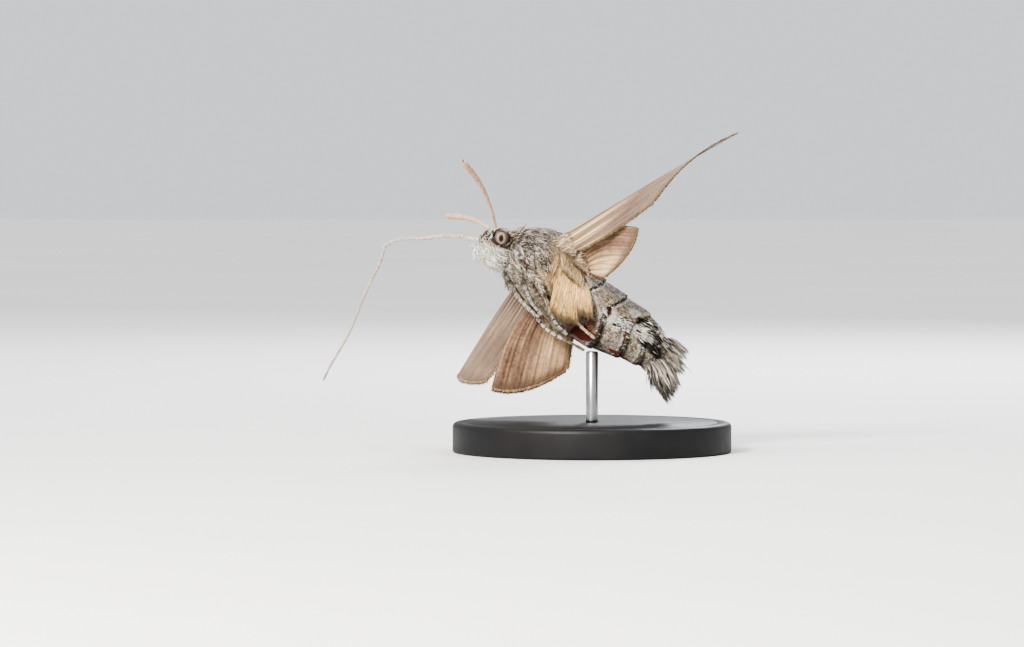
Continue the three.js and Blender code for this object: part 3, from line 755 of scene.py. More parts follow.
def make_skin():
    rows, columns = SKIN_GRID
    angles = np.linspace(0, 360, columns, endpoint=False)
    f, angle = np.meshgrid(np.linspace(NECK_F, TAIL_F + 0.05, rows), angles, indexing="ij")
    forms = [closed_form(trunk_point(f, angle), rows, columns),
             closed_ellipsoid(HEAD_CENTRE, HEAD_SIZE - HEAD_COAT, *ELLIPSOID_GRID)]
    for side, _ in SIDES:
        forms.append(closed_ellipsoid(on_head(PALP_SHIFT, side), PALP_SIZE - PALP_COAT, *ELLIPSOID_GRID))
    piece = remeshed(mesh_object("skin", *joined(forms)))
    set_attributes(piece, marks_at(local(mesh_points(piece))))
    return finish_piece(piece, SKIN, "fur", SKIN_NODES)


skin = make_skin()


# Coat: short tufts in rows over the skin
# Points compared with all centres at a time
CLUMP_CHUNK = 4000
FUR = (COAT, "fur")
PALE_FUR = (COAT, "pale_fur")


def trunk_roots(f_low, f_high, spacing, angle_low=-180, angle_high=180):
    """Uneven lattice of places on the trunk."""
    places, angles = [], []
    for k, f in enumerate(np.arange(f_low + spacing / 2, f_high, spacing)):
        arc = np.pi * (trunk_at(f, HALF_DEPTH) + trunk_at(f, HALF_WIDTH)) * (angle_high - angle_low) / 360
        count = max(int(arc / spacing), 3)
        step = (angle_high - angle_low) / count
        angles.append(angle_low + (np.arange(count) + 0.5 * (k % 2) + rng.normal(0, 0.28, count)) * step)
        places.append(f + rng.normal(0, 0.28, count) * spacing)
    return np.concatenate(places), (np.concatenate(angles) + 180) % 360 - 180


def nearest(points, centres):
    """Index of the nearest centre to each point."""
    found = np.zeros(len(points), int)
    for start in range(0, len(points), CLUMP_CHUNK):
        part = points[start:start + CLUMP_CHUNK]
        gap = -2 * part @ centres.T + np.sum(centres**2, axis=1)[None]
        found[start:start + CLUMP_CHUNK] = np.argmin(gap, axis=1)
    return found


# Unwrap: the trunk, the head and all other hair each have a part of the map
def trunk_unwrap(f, angle):
    along = np.clip((NECK_F - np.asarray(f)) / (NECK_F - TAIL_F), 0, 1)
    return np.stack([0.01 + 0.96 * along, 0.01 + 0.6 * (np.asarray(angle) + 180) / 360], axis=-1)


def head_unwrap(direction):
    direction = unit(direction)
    turn_share = (np.arctan2(direction[:, 1], direction[:, 2]) + np.pi) / (2 * np.pi)
    polar = np.arccos(np.clip(direction[:, 0], -1, 1)) / np.pi
    return np.stack([0.01 + 0.46 * turn_share, 0.63 + 0.33 * polar], axis=1)


def other_unwrap(a, b):
    return np.stack([0.52 + 0.2 * np.clip(a, 0, 1), 0.65 + 0.3 * np.clip(b, 0, 1)], axis=-1)


def hair_flow(f, angle):
    """Lie of the coat in the moth's axes: backwards, turning down below the wing roots and on the chest."""
    side = np.sign(angle)
    flank = np.abs(angle)
    under_wing = np.exp(-(((f - 0.2) / 2.0) ** 2 + ((flank - 76) / 24) ** 2))
    chest = smooth(f, 0.5, 2.5) * (1 - smooth(flank, 40, 75))
    above_wing = np.exp(-(((f - 1.6) / 1.6) ** 2 + ((flank - 140) / 22) ** 2))
    down = 0.95 * under_wing + 0.35 * chest - 0.35 * above_wing
    swirl = (0.3 * wobble(f * 3, angle * 2, 1.0, 2.0)) * smooth(f, -4.5, -3.0)
    return np.stack([-np.ones_like(f), -down + swirl, 0.3 * side * above_wing + 0.1 * swirl], axis=-1)


def trunk_coat(name, f, angle, length, width, lift, settle, clump, clump_size, rings=3, curl=0.06, spread=0.2,
               flatness=0.4, look=FUR, clump_shade=0.45, tone=0.0, clump_lift=0.0):
    """One piece of coat whose tufts grow at the places, lie towards the tail and lean together in clumps.

    The lift of a tuft's root and the settle of its tip are angles to the skin in degrees.
    """
    count = len(f)
    roots, normals, lie = trunk_point(f, angle), trunk_normal(f, angle), hair_flow(f, angle)
    shade = grain(count)
    lift = np.radians(lift) * rng.uniform(0.5, 1.5, count)
    flow = lie + rng.normal(0, spread, (count, 3)) * (0, 1, 1)
    centres = trunk_point(*trunk_roots(f.min(), f.max(), clump_size))
    group = nearest(roots + turn(lie) * clump_size * rng.uniform(-1.2, 1.2, count)[:, None], centres)
    shade = (1 - clump_shade) * shade + clump_shade * chance(len(centres))[group]
    lift = lift * np.clip(1 + clump_lift * rng.normal(0, 1, len(centres))[group], 0.2, 2.5)
    flow = flow + (rng.normal(0, 0.22, (len(centres), 3)) * (0, 1, 1))[group]
    length = vary(length, count)
    paths = bent_paths(roots, normals, turn(flow), length, lift, np.radians(settle), rings)
    paths = curled(paths, normals, curl)
    toward = centres[group] + turn(lie) * length[:, None] * 0.6 - paths[:, -1]
    toward = toward - np.sum(toward * normals, axis=1, keepdims=True) * normals
    reach = np.linalg.norm(toward, axis=1, keepdims=True)
    toward = toward * np.minimum(1, clump_size / np.maximum(reach, 1e-6))
    share = (np.arange(rings) / (rings - 1))[None, :, None] ** 1.5
    paths = paths + toward[:, None] * share * (clump * rng.uniform(0.4, 1.0, count))[:, None, None]
    middle = local(paths[:, rings // 2])
    marks = body_marks(np.clip(middle[:, 0], TAIL_F, NECK_F), flank_angle(middle))
    marks["white"] = marks["white"] * (0.45 + 0.55 * smooth(shade, 0.15, 0.42))
    coat_piece(name, paths, vary(width, count), normals, trunk_unwrap(f, angle), marks,
               np.clip(shade + tone, 0, 1), look, flatness=flatness)


def make_thorax_coat():
    """Short down darkened as painted shade in gaps under long, swirling, paler hair, raggedest on back and
    chest.
    """
    for name, low, high in (("thorax_down_rear", -4.3, 0.3), ("thorax_down_front", 0.3, 4.95)):
        f, angle = trunk_roots(low, high, 0.15)
        # The down's lower tone is painted shade, seen in the gaps between the clumps of hair above it
        trunk_coat(name, f, angle, length=0.5, width=0.14, lift=14, settle=2, clump=0.2, clump_size=0.5,
                   tone=-0.15)
    for name, low, high in (("thorax_hair_rear", -4.2, 0.1), ("thorax_hair_front", 0.1, 4.9)):
        f, angle = trunk_roots(low, high, 0.145)
        length = 1.45 + 0.5 * smooth(np.abs(angle), 100, 150) - 0.5 * smooth(f, 2.8, 4.8)
        trunk_coat(name, f, angle, length, width=0.085, lift=19, settle=4, clump=0.75, clump_size=0.36,
                   rings=4, curl=0.16, clump_shade=0.6, tone=0.08, clump_lift=0.5, spread=0.14)
    f, angle = trunk_roots(-4.3, 4.6, 0.22)
    flank = np.abs(angle)
    free = smooth(flank, 95, 130) + 0.8 * (1 - smooth(flank, 30, 60)) * smooth(f, 0.0, 1.5)
    keep = chance(len(f)) < free + 0.75
    f, angle, free = f[keep], angle[keep], np.clip(free[keep], 0, 1)
    trunk_coat("thorax_ragged_hair", f, angle, length=1.7 + 0.4 * free, width=0.085, lift=22 + 14 * free,
               settle=6, clump=0.6, clump_size=0.5, rings=5, curl=0.2, clump_shade=0.65, tone=0.1)


def make_throat_coat():
    """Long pale hair that hangs ragged between the chin and the fore legs."""
    f, angle = trunk_roots(2.4, 4.95, 0.17, -62, 62)
    length = 1.5 - 0.5 * smooth(np.abs(angle), 30, 60)
    trunk_coat("throat_hair", f, angle, length, width=0.085, lift=42, settle=12, clump=0.85,
               clump_size=0.55, rings=5, curl=0.25, clump_shade=0.65, tone=0.1, look=PALE_FUR)


# Abdomen: lengths of its three pieces of coat, length of the scales and their share on the lines of the back
ABDOMEN_PARTS = ((-7.0, -3.7), (-10.6, -7.0), (-15.1, -10.6))
SCALE_LENGTH = 0.38
LINE_SCALES = 0.45
MARGIN_START = 0.84


def line_gap(along):
    """Distance from the nearest line across the back."""
    return np.min([np.abs(along - line) for line in DORSAL_LINES], axis=0)


def make_abdomen_coat():
    """Flat scales in rows, shortest on the lines across the back and longer at each segment's rear edge."""
    for number, (low, high) in enumerate(ABDOMEN_PARTS, 1):
        f, angle = trunk_roots(low, high, 0.1)
        on_line = (line_gap(segment_place(f, angle)) < 0.5) & (np.abs(angle) > 80)
        length = SCALE_LENGTH * np.where(on_line, LINE_SCALES, 1.0)
        trunk_coat(f"abdomen_scales_{number}", f, angle, length, width=0.16, lift=13, settle=3, clump=0.1,
                   clump_size=0.35, spread=0.14, flatness=0.22, curl=0.03, clump_shade=0.25, tone=0.12)
    f, angle = trunk_roots(-15.05, -4.2, 0.12)
    phase, number = segment_phase(segment_place(f, angle))
    margin = (phase > MARGIN_START) & (number >= 0) & (np.abs(angle) < 100 - 60 * (number > 2))
    trunk_coat("abdomen_margins", f[margin], angle[margin], length=0.5, width=0.15, lift=16, settle=8,
               clump=0.4, clump_size=0.4, spread=0.1, rings=4, curl=0.05)
    f, angle = trunk_roots(-15.0, -4.4, 0.24)
    clear = (line_gap(segment_place(f, angle) - 0.3) > 0.7) | (np.abs(angle) < 85)
    trunk_coat("abdomen_hair", f[clear], angle[clear], length=0.6, width=0.13, lift=18, settle=6, clump=0.4,
               clump_size=0.6, rings=4, curl=0.12)


make_thorax_coat()
make_throat_coat()
make_abdomen_coat()


# Long tufts: over the hind legs, along the hinder segments and at the tail
# Fans of flank hair by side: root and its spread, ends of both edges (places and angles), height, count, tint
FLANK_FANS = {
    1: (
        ((-0.5, 98), (0.9, 12), ((-0.6, 64), (-3.0, 32)), 0.75, 900, "brown"),
        ((-1.7, 92), (1.1, 12), ((-2.9, 28), (-6.2, 42)), 1.45, 2600, "cream"),
        ((-3.0, 100), (0.9, 9), ((-4.9, 50), (-7.0, 60)), 1.4, 1900, "cream"),
        ((-1.5, 106), (1.6, 8), ((-1.3, 82), (-4.3, 84)), 1.0, 1100, "tan"),
    ),
    -1: (
        ((-5.6, 98), (0.5, 8), ((-7.6, 82), (-8.3, 86)), 0.6, 300, "cream"),
        ((-6.3, 106), (0.4, 7), ((-8.3, 88), (-9.0, 96)), 0.6, 260, "cream"),
        ((-1.5, 102), (2.2, 10), ((-1.8, 72), (-5.2, 70)), 0.8, 1000, "tan"),
    ),
}
# Height of a fan's hairs along their way, as a share of its greatest height
FAN_RISE = ((0, 0.35, 0.7, 1), (0.1, 0.6, 0.95, 0.8))
FAN_LOCKS = 16
FAN_RINGS = 5
# Share of cream, brown and white of each tint
FAN_TINTS = {"cream": (0.8, 0.1, 0.2), "brown": (0.45, 0.55, 0.0), "tan": (0.4, 0.3, 0.1)}
# Brushes of the tail: root, end, count, half height and half width at both ends, share of dark hairs
TAIL_BRUSHES = (
    ((-14.2, -0.2, 0), (-18.9, -2.2, 0.1), 1700, (1.5, 2.0), (1.2, 2.1), 0.34),
    ((-14.2, 1.3, 1.2), (-17.3, 1.4, 1.5), 650, (0.7, 1.0), (0.9, 1.0), 0.2),
    ((-14.2, 1.3, -1.2), (-17.3, 1.4, -1.9), 520, (0.7, 1.0), (0.9, 1.0), 0.3),
    ((-14.4, -1.0, 0.6), (-16.9, -3.1, 0.8), 190, (0.6, 1.0), (0.35, 0.9), 0.3),
    ((-14.2, 0.7, 0.6), (-18.0, 0.1, 0.8), 700, (0.9, 1.2), (0.9, 1.2), 0.2),
)
TAIL_LOCKS = 60
TAIL_RINGS = 6
TAIL_BEND = 0.22
# Side tufts: segment, angle, length, rise, share of dark, share of white
SIDE_TUFTS = (
    (2, 78, 0.8, 0.2, 0.05, 0.9), (3, 84, 1.3, 0.35, 0.1, 0.7), (3, 108, 1.5, 0.5, 0.35, 0.2),
    (4, 110, 2.0, 0.65, 0.2, 0.35), (4, 72, 1.3, 0.25, 0.9, 0.0),
)
SIDE_TUFT_COUNT = 130
SIDE_TUFT_DEPTH = 0.35


def fan_strands(side, number, root, spread, ends, height, count, tint):
    """Paths, facings, unwrap, shades and marks of one fan."""
    s = chance(count)
    start = np.array(root) + rng.uniform(-0.6, 0.6, (count, 2)) * spread
    start[:, 0] -= 1.2 * (s - 0.5) * spread[0]
    end = np.array(ends[0]) + (np.array(ends[1]) - ends[0]) * s[:, None]
    lock = np.floor(s * FAN_LOCKS * 0.999).astype(int)
    lock_turn, lock_reach = rng.normal(0, 1, FAN_LOCKS), rng.uniform(0.93, 1.02, FAN_LOCKS)
    reach = rng.uniform(0.25, 1.0, count) ** 0.4 * lock_reach[lock]
    layer = rng.uniform(0.3, 1.0, count)
    rings = []
    for t in np.linspace(0, 1, FAN_RINGS):
        way = t * reach
        rise = height * np.interp(way, *FAN_RISE) * layer - 0.3 * (1 - np.minimum(way * 4, 1))
        at = start + (end - start) * way[:, None]
        at[:, 0] += 0.08 * lock_turn[lock] * way**2
        rings.append(surface_point(at[:, 0], side * at[:, 1], rise))
    facing = trunk_normal(start[:, 0], side * start[:, 1])
    path = curled(np.stack(rings, axis=1), facing, 0.07)
    shade = 0.7 * grain(count) + 0.3 * chance(FAN_LOCKS)[lock]
    luck = chance(count)
    cream, brown, white = FAN_TINTS[tint]
    # Painted highlight: more white hairs across the middle of each cream fan
    painted_highlight = bell(s, 0.45, 0.25) if tint == "cream" else 0.0
    marks = even_marks(count, cream=cream + 0.1 * luck - 0.3 * (luck < 0.5) * (cream < 0.6),
                       brown=brown * (luck < 0.55), white=white * (luck > 0.7) * (0.6 + painted_highlight))
    uv = other_unwrap(0.7 + 0.25 * s, 0.05 + 0.1 * number + 0.08 * layer + 0.5 * (side < 0))
    return path, facing, uv, shade, marks


def make_flank_tuft(side, name):
    """Fans of long pale hair that sweep from the flank down over the hind leg, under shorter tan hair."""
    fans = [fan_strands(side, number, *fan) for number, fan in enumerate(FLANK_FANS[side])]
    paths, facings, uvs, shades = (np.concatenate(parts) for parts in list(zip(*fans))[:4])
    marks = {key: np.concatenate([fan[4][key] for fan in fans]) for key in MARKS}
    coat_piece(f"flank_hair_{name}", paths, vary(0.072, len(paths)), facings, uvs, marks, shades,
               (FAN, "cream_fur"), [f"flank_tuft_{name}"])


def make_side_tufts():
    """Flat brushes of black and white scales along the sides of the hinder segments."""
    starts, ends, marks = [], [], []
    count = SIDE_TUFT_COUNT
    for segment, angle, length, rise, dark, white in SIDE_TUFTS:
        middle = (SEGMENT_EDGES[segment] + SEGMENT_EDGES[segment + 1]) / 2 + 0.4
        for side, _ in SIDES:
            f = middle + rng.normal(0, 0.35, count)
            a = side * (angle + rng.normal(0, 5.0, count))
            reach = length * rng.uniform(0.5, 1.0, count)
            starts.append([f, a])
            ends.append([f - reach, a + rng.normal(0, 3, count), rise * rng.uniform(0.1, 1.0, count)])
            marks.append([chance(count) < share for share in (dark, white)])
    start, end, mark = (np.concatenate(parts, axis=1).T for parts in (starts, ends, marks))
    count = len(start)
    paths = []
    for t in np.linspace(0, 1, 4):
        height = -SIDE_TUFT_DEPTH + (end[:, 2] + SIDE_TUFT_DEPTH) * np.sqrt(t)
        f = start[:, 0] + (end[:, 0] - start[:, 0]) * t
        at = surface_point(np.maximum(f, TAIL_F), start[:, 1] + (end[:, 1] - start[:, 1]) * t, height)
        paths.append(at - FORWARD * np.maximum(TAIL_F - f, 0)[:, None])
    shares = even_marks(count, dark=0.95 * mark[:, 0], white=0.9 * (mark[:, 1] & ~mark[:, 0]))
    coat_piece("side_tufts", np.stack(paths, axis=1), vary(0.15, count), trunk_normal(*start.T),
               trunk_unwrap(*start.T), shares, grain(count), (LONG_HAIR, "tail_fur"), flatness=0.25)


def brush_strands(number, root, end, count, root_size, end_size, dark):
    """Paths in the moth's axes, widths, unwrap, shades and dark hairs of a brush gathered in locks."""
    radius = np.sqrt(chance(count))
    angle = rng.uniform(0, 2 * np.pi, count)
    away = np.stack([np.zeros(count), radius * np.sin(angle), radius * np.cos(angle)], axis=1)
    start = np.array(root) + away * (0, *root_size)
    centres = rng.uniform(0, 1, (TAIL_LOCKS, 2)) * (1, 2 * np.pi)
    centres = np.sqrt(centres[:, :1]) * np.stack([np.sin(centres[:, 1]), np.cos(centres[:, 1])], axis=1)
    lock = np.argmin(np.linalg.norm(away[:, None, 1:] - centres[None], axis=2), axis=1)
    lock_shift = rng.normal(0, 1, (TAIL_LOCKS, 3)) * (0.34, 0.2, 0.2)
    away[:, 1:] = away[:, 1:] * 0.35 + centres[lock] * 0.65
    tip = np.array(end) + away * (0, *end_size) + lock_shift[lock]
    short = rng.uniform(0.3, 1.0, count) ** 0.6
    tip = start + (tip - start) * short[:, None] + rng.normal(0, 0.07, (count, 3))
    steps = np.linspace(0, 1, TAIL_RINGS)[:, None, None]
    way = start + (tip - start) * steps + np.sin(np.pi * steps) * np.array([0, TAIL_BEND, 0])
    width = vary(0.14, count)
    uv = other_unwrap(0.05 + 0.6 * radius * np.abs(np.sin(angle)), 0.05 + 0.18 * number + 0.17 * radius)
    shade = 0.55 * grain(count) + 0.45 * chance(TAIL_LOCKS)[lock]
    return np.moveaxis(way, 0, 1), width, uv, shade, shade < dark


def make_tail():
    """Tail fan: a long brush, two above it, a short one below and one between, dark with paler ends."""
    brushes = [brush_strands(number, *brush) for number, brush in enumerate(TAIL_BRUSHES)]
    paths, widths, uvs, shade, dark = (np.concatenate(parts) for parts in zip(*brushes))
    count = len(paths)
    facing = turn(np.stack([np.zeros(count), np.ones(count), rng.normal(0, 0.7, count)], axis=1))
    marks = even_marks(count, dark=0.85 * dark, brown=0.12, white=0.6 * (shade > 0.6))
    coat_piece("tail_brush", THORAX_CENTRE + paths @ AXES, widths, unit(facing), uvs, marks, shade,
               (TAIL, "tail_fur"), ["tail_fan"], flatness=0.3)


for side, name in SIDES:
    make_flank_tuft(side, name)
make_side_tufts()
make_tail()


# Head: short coat and lashes
HEAD_SHARE = 1.0
HEAD_LOCKS = 260
# Layers of the head's coat: name, length, width of its hairs, rings
HEAD_LAYERS = (("head_down", 0.7, 0.11, 3), ("head_hair", 1.3, 0.075, 4))
HEAD_FRONT_F = 4.75
LASH_COUNT = 900
LASH_TILT = 0.06
RIM_STEPS = 61
RIM_LIMIT = 1.2
RIM_CLEAR = 1.04
CORNER_ANGLE = -0.64


def skin_places(piece, keep):
    """Centres and normals of the skin's faces where keep(places) holds."""
    count = len(piece.data.polygons)
    centres, normals = np.zeros(count * 3), np.zeros(count * 3)
    piece.data.polygons.foreach_get("center", centres)
    piece.data.polygons.foreach_get("normal", normals)
    centres, normals = centres.reshape(-1, 3) / MM, normals.reshape(-1, 3)
    chosen = keep(local(centres))
    return centres[chosen], normals[chosen]


def eye_gap(places):
    """Distance from the nearer eye's surface."""
    gaps = [np.linalg.norm(places - on_head(EYE_SHIFT, side), axis=1) - EYE_RADIUS for side, _ in SIDES]
    return np.minimum(*gaps)


def palp_share(places):
    """1 on the palps, 0 away from them."""
    found = np.zeros(len(places))
    for side, _ in SIDES:
        gap = np.linalg.norm((places - on_head(PALP_SHIFT, side)) / PALP_SIZE, axis=1)
        found = np.maximum(found, 1 - smooth(gap, 0.95, 1.25))
    return found


def parted_at_eyes(places, flow, length):
    """Flow turned round the eyes, and lengths cut where a hair would still lie over one."""
    for side, _ in SIDES:
        toward = on_head(EYE_SHIFT, side) - places
        gap = np.linalg.norm(toward, axis=1) - EYE_RADIUS
        toward = unit(toward)
        into = np.maximum(np.sum(toward * flow, axis=1), 0) * (1 - smooth(gap, 0.4, 1.0))
        flow = unit(flow - 1.1 * into[:, None] * toward)
        still = (np.sum(toward * flow, axis=1) > 0.05) & (gap < 0.8)
        length = np.where(still, np.minimum(length, 0.2 + 0.8 * np.maximum(gap, 0)), length)
    return flow, length


def make_head_coat(name, size, width, rings):
    """White fluff swept back over cheeks and palps, a brown brow and a ragged crest behind the feelers."""
    roots, normals = skin_places(skin, lambda p: (p[:, 0] > HEAD_FRONT_F) & (eye_gap(p) > 0.0))
    pick = chance(len(roots)) < HEAD_SHARE
    roots, normals = roots[pick], normals[pick]
    roots = roots + rng.normal(0, 0.05, roots.shape)
    at = local(roots)
    away = unit(at - HEAD_CENTRE)
    ahead, up = away[:, 0], away[:, 1]
    count = len(at)
    low = 1 - smooth(up, -0.5, 0.2)
    crown = smooth(up, 0.45, 0.85) * smooth(-ahead, -0.55, 0.1)
    throat = smooth(-up, 0.45, 0.8) * smooth(-ahead, -0.5, 0.2)
    palp = palp_share(at)
    face = smooth(ahead, 0.45, 0.8) * (1 - palp)
    flow = np.stack([np.full(count, -1.0), -0.3 * low - 0.1, 0.3 * np.sign(at[:, 2]) * low], axis=1)
    flow = flow + face[:, None] * np.array([1.2, 0.9, 0.0])
    lock = nearest(at, at[rng.choice(count, HEAD_LOCKS, replace=False)])
    flow = unit(flow + rng.normal(0, 0.16, (count, 3)) + rng.normal(0, 0.2, (HEAD_LOCKS, 3))[lock])
    length = (0.5 + 0.35 * low + 0.45 * crown + 0.5 * throat) * size * (1 - 0.4 * face)
    flow, length = parted_at_eyes(at, flow, length)
    lift = np.radians(13 + 4 * low + 34 * crown + 22 * throat + 14 * face) * rng.uniform(0.5, 1.5, count)
    paths = bent_paths(roots, normals, turn(flow), vary(length, count), lift, np.radians(4), rings)
    paths = curled(paths, normals, 0.06)
    marks = marks_at(at)
    palp = palp * (1 - smooth(up, -0.4, -0.12))
    marks["white"] = np.maximum(marks["white"], palp * (1 - marks["dark"]))
    marks["dark"] = marks["dark"] * (1 - palp)
    shade = 0.6 * grain(count) + 0.4 * chance(HEAD_LOCKS)[lock]
    marks["white"] = marks["white"] * (0.72 + 0.28 * smooth(shade, 0.2, 0.45))
    uv = head_unwrap(at - HEAD_CENTRE)
    coat_piece(name, paths, vary(width, count), normals, uv, marks, shade, PALE_FUR)


def rim_tilt(angle):
    """Tilt out of the head at which the eye comes out of the skin, at each angle round it."""
    tilts = np.linspace(-RIM_LIMIT, RIM_LIMIT, RIM_STEPS)
    ring = np.stack([np.cos(angle), np.sin(angle), np.zeros_like(angle)], axis=1)
    away = ring[:, None] * np.cos(tilts)[None, :, None] + np.array([0, 0, 1]) * np.sin(tilts)[None, :, None]
    places = EYE_SHIFT + EYE_RADIUS * away
    head = np.linalg.norm(places / (HEAD_SIZE - HEAD_COAT), axis=2)
    palp = np.linalg.norm((places - PALP_SHIFT) / (PALP_SIZE - HEAD_COAT), axis=2)
    hidden = np.minimum(head, palp) < RIM_CLEAR
    return tilts[RIM_STEPS - 1 - np.argmax(hidden[:, ::-1], axis=1)]


def make_eye_lashes(side, name):
    """Short hair over an eye's rim: white in front, dark below and at the corner."""
    count = LASH_COUNT
    angle = rng.uniform(-np.pi, np.pi, count)
    tilt = rim_tilt(angle) + rng.normal(LASH_TILT, 0.05, count)
    ahead, up = np.cos(angle), np.sin(angle)
    away = np.stack([ahead * np.cos(tilt), up * np.cos(tilt), side * np.sin(tilt)], axis=1)
    inward = np.stack([-ahead * np.sin(tilt), -up * np.sin(tilt), side * np.cos(tilt)], axis=1)
    backward = np.stack([up, -ahead, np.zeros(count)], axis=1) * -np.sign(up)[:, None]
    corner = bell(angle, CORNER_ANGLE, 0.2)
    flow = backward + 0.5 * inward + corner[:, None] * (1.6 * away - backward - 0.5 * inward)
    flow = unit(flow + rng.normal(0, 0.2, (count, 3)))
    length = vary(0.36 + 0.12 * corner + 0.12 * (ahead > 0.3), count)
    roots = place(*(on_head(EYE_SHIFT, side) + away * (EYE_RADIUS - 0.03)).T)
    lift = np.radians(16) * rng.uniform(0.4, 1.4, count)
    paths = bent_paths(roots, turn(away), turn(flow), length, lift, np.radians(2), sink=0.02)
    below = smooth(-up, 0.5, 0.75)
    brow = smooth(ahead, 0.5, 0.8) * smooth(up, -0.5, -0.3)
    rear = smooth(-ahead, 0.3, 0.8)
    dark = np.maximum(corner, 0.7 * below) * (chance(count) < 0.85)
    marks = even_marks(count, white=np.maximum(0.9 * brow, 0.35 * rear) * (1 - dark), dark=dark, brown=0.35)
    uv = head_unwrap(local(roots) - HEAD_CENTRE)
    coat_piece(f"eye_lashes_{name}", paths, vary(0.07, count), turn(away), uv, marks, grain(count), PALE_FUR)


# Eyes
EYE_GRID = (90, 128)
EYE_FACETS = 26000
# Dark spots: direction in the world (the right eye's are mirrored), half width, half height, strength
PUPIL = ((0.02, -1.0, 0.0), 0.25, 0.38, 1.0)
EYE_SPOTS = (
    ((-0.74, -0.6, 0.36), 0.24, 0.36, 0.95), ((-0.62, -0.6, -0.56), 0.42, 0.22, 0.95),
    ((0.05, -0.72, 0.7), 0.3, 0.13, 0.45),
)


def eye_material():
    """Compound eye: taupe with a pale ring round the dark pupil, painted shade to its rim, under a fine net
    of facets.
    """
    finish = Finish("compound_eye", roughness=0.5, specular=0.3)
    # The tone attribute holds the eye's own tone less the painted shade away from the camera
    tone = finish.math("ADD", finish.attribute("tone"), finish.scaled(finish.noise(1500, 3), 0.16))
    colour = finish.ramp(tone, (0.1, (0.045, 0.03, 0.02)), (0.38, (0.125, 0.088, 0.06)),
                         (0.62, (0.26, 0.2, 0.14)), (0.95, (0.50, 0.42, 0.32)))
    # The dark of the spots also paints the shade at the eye's rim
    colour = finish.tinted(colour, {"spots_and_rim_shade": (0.012, 0.009, 0.007)})
    facets = finish.cells(EYE_FACETS)
    finish.colour(finish.shaded(colour, facets, (0.0, 0.55), (0.12, 1)))
    finish.roughness(finish.noise(3000, 2), 0.4, 0.58)
    finish.bump(facets, 0.00001, 0.35)
    return finish.material


def spot_gap(away, direction, wide, high):
    """Distance from the middle of a dark patch in its own half sizes."""
    axis = unit(np.array(direction))
    across = unit(np.cross(axis, (0, 0, 1)))
    up = np.cross(across, axis)
    return np.hypot(away @ across / wide, away @ up / high) + 3 * (away @ axis < 0)


def make_eye(side, name, material):
    centre = on_head(EYE_SHIFT, side)
    eye = mesh_object(f"eye_{name}_lens", *closed_ellipsoid(centre, [EYE_RADIUS] * 3, *EYE_GRID))
    away = turn(unit(local(mesh_points(eye)) - centre) * (1, 1, side))
    spots_and_rim_shade = np.zeros(len(away))
    for *shape, strength in (PUPIL, *EYE_SPOTS):
        spots_and_rim_shade = np.maximum(spots_and_rim_shade, strength * (1 - smooth(spot_gap(away, *shape), 0.75, 1.1)))
    # Painted shade: a dark rim where the eye turns away from the camera; facing is the share towards it
    facing = -away[:, 1]
    spots_and_rim_shade = np.maximum(spots_and_rim_shade, 0.5 * (1 - smooth(facing, 0.1, 0.35)))
    # Painted shade over the parts turned away from the camera, stronger on some sides, taken off the tone
    shaded = 0.3 * (1 - smooth(facing, 0.4, 0.85))
    shaded = shaded * (0.6 + 0.4 * smooth(away[:, 2] + 0.4 * away[:, 0], -0.3, 0.5))
    pupil_gap = spot_gap(away, *PUPIL[:3])
    tone = 0.35 + 0.2 * bell(pupil_gap, 1.4, 0.28) + 0.1 * (1 - smooth(pupil_gap, 1.6, 2.4)) - shaded
    set_attributes(eye, {"spots_and_rim_shade": spots_and_rim_shade, "tone": tone})
    finish_piece(eye, material, "eye", [f"eye_{name}"])


for layer in HEAD_LAYERS:
    make_head_coat(*layer)
for side, name in SIDES:
    make_eye_lashes(side, name)
EYE_FINISH = eye_material()
for side, name in SIDES:
    make_eye(side, name, EYE_FINISH)


# Feelers and tongue
ANTENNA_ROOT = np.array([0.9, 1.55, 0.75])
ANTENNA_SUNK = np.array([0.1, 0.35, 0.0])
ANTENNA_REACH = {1: np.array([7.5, 0.7, 8.3]), -1: np.array([5.5, 0.7, 8.3])}
ANTENNA_BOW = 0.8
ANTENNA_HOOK = np.array([-0.25, 0.3, 0.0])
HOOK_START = 0.955
HOOK_LENGTH = 0.045
# Radius along a feeler: places and radii
ANTENNA_RADII = ((0, 0.04, 0.3, 0.6, 0.82, 0.93, 0.97, 1.0), (0.19, 0.145, 0.18, 0.26, 0.34, 0.28, 0.1, 0.03))
ANTENNA_RINGS = 58
ANTENNA_STEPS = 400
ANTENNA_SIDES = 24
# Route of the tongue from the head to the tip, as X and Z from the thorax
PROBOSCIS_ROUTE = np.array([
    [-6.1, 4.2], [-7.2, 3.8], [-9.2, 4.15], [-10.7, 4.2], [-13.1, 3.95], [-16.3, 3.65], [-17.2, 3.1],
    [-17.5, 2.1], [-19.4, -2.1], [-21.2, -6.5], [-23.1, -9.8], [-23.9, -11.4],
])
PROBOSCIS_Y = -0.3
PROBOSCIS_NODES = ["proboscis_base", "proboscis_shaft", "proboscis_tip"]
TONGUE_RINGS = 150
TONGUE_STEPS = 900
TONGUE_SIDES = 20
TONGUE_GROOVE = 0.22
TONGUE_SCALES = 2600


def thread_material(name, gloss, noise, noise_share, stops, rough, bump_scale, tip=None):
    """Ringed thread coloured by a noise and its bands, with a dark tip if one is given."""
    finish = Finish(name, *gloss)
    tone = finish.weighted(finish.noise(*noise), noise_share, finish.attribute("band"), 1 - noise_share)
    colour = finish.ramp(tone, *stops)
    if tip:
        colour = finish.tinted(colour, {"dark": tip})
    finish.colour(colour)
    finish.roughness(finish.noise(rough[0], 2), *rough[1:])
    finish.bump(finish.noise(bump_scale, 3), 0.00002, 0.5)
    return finish.material


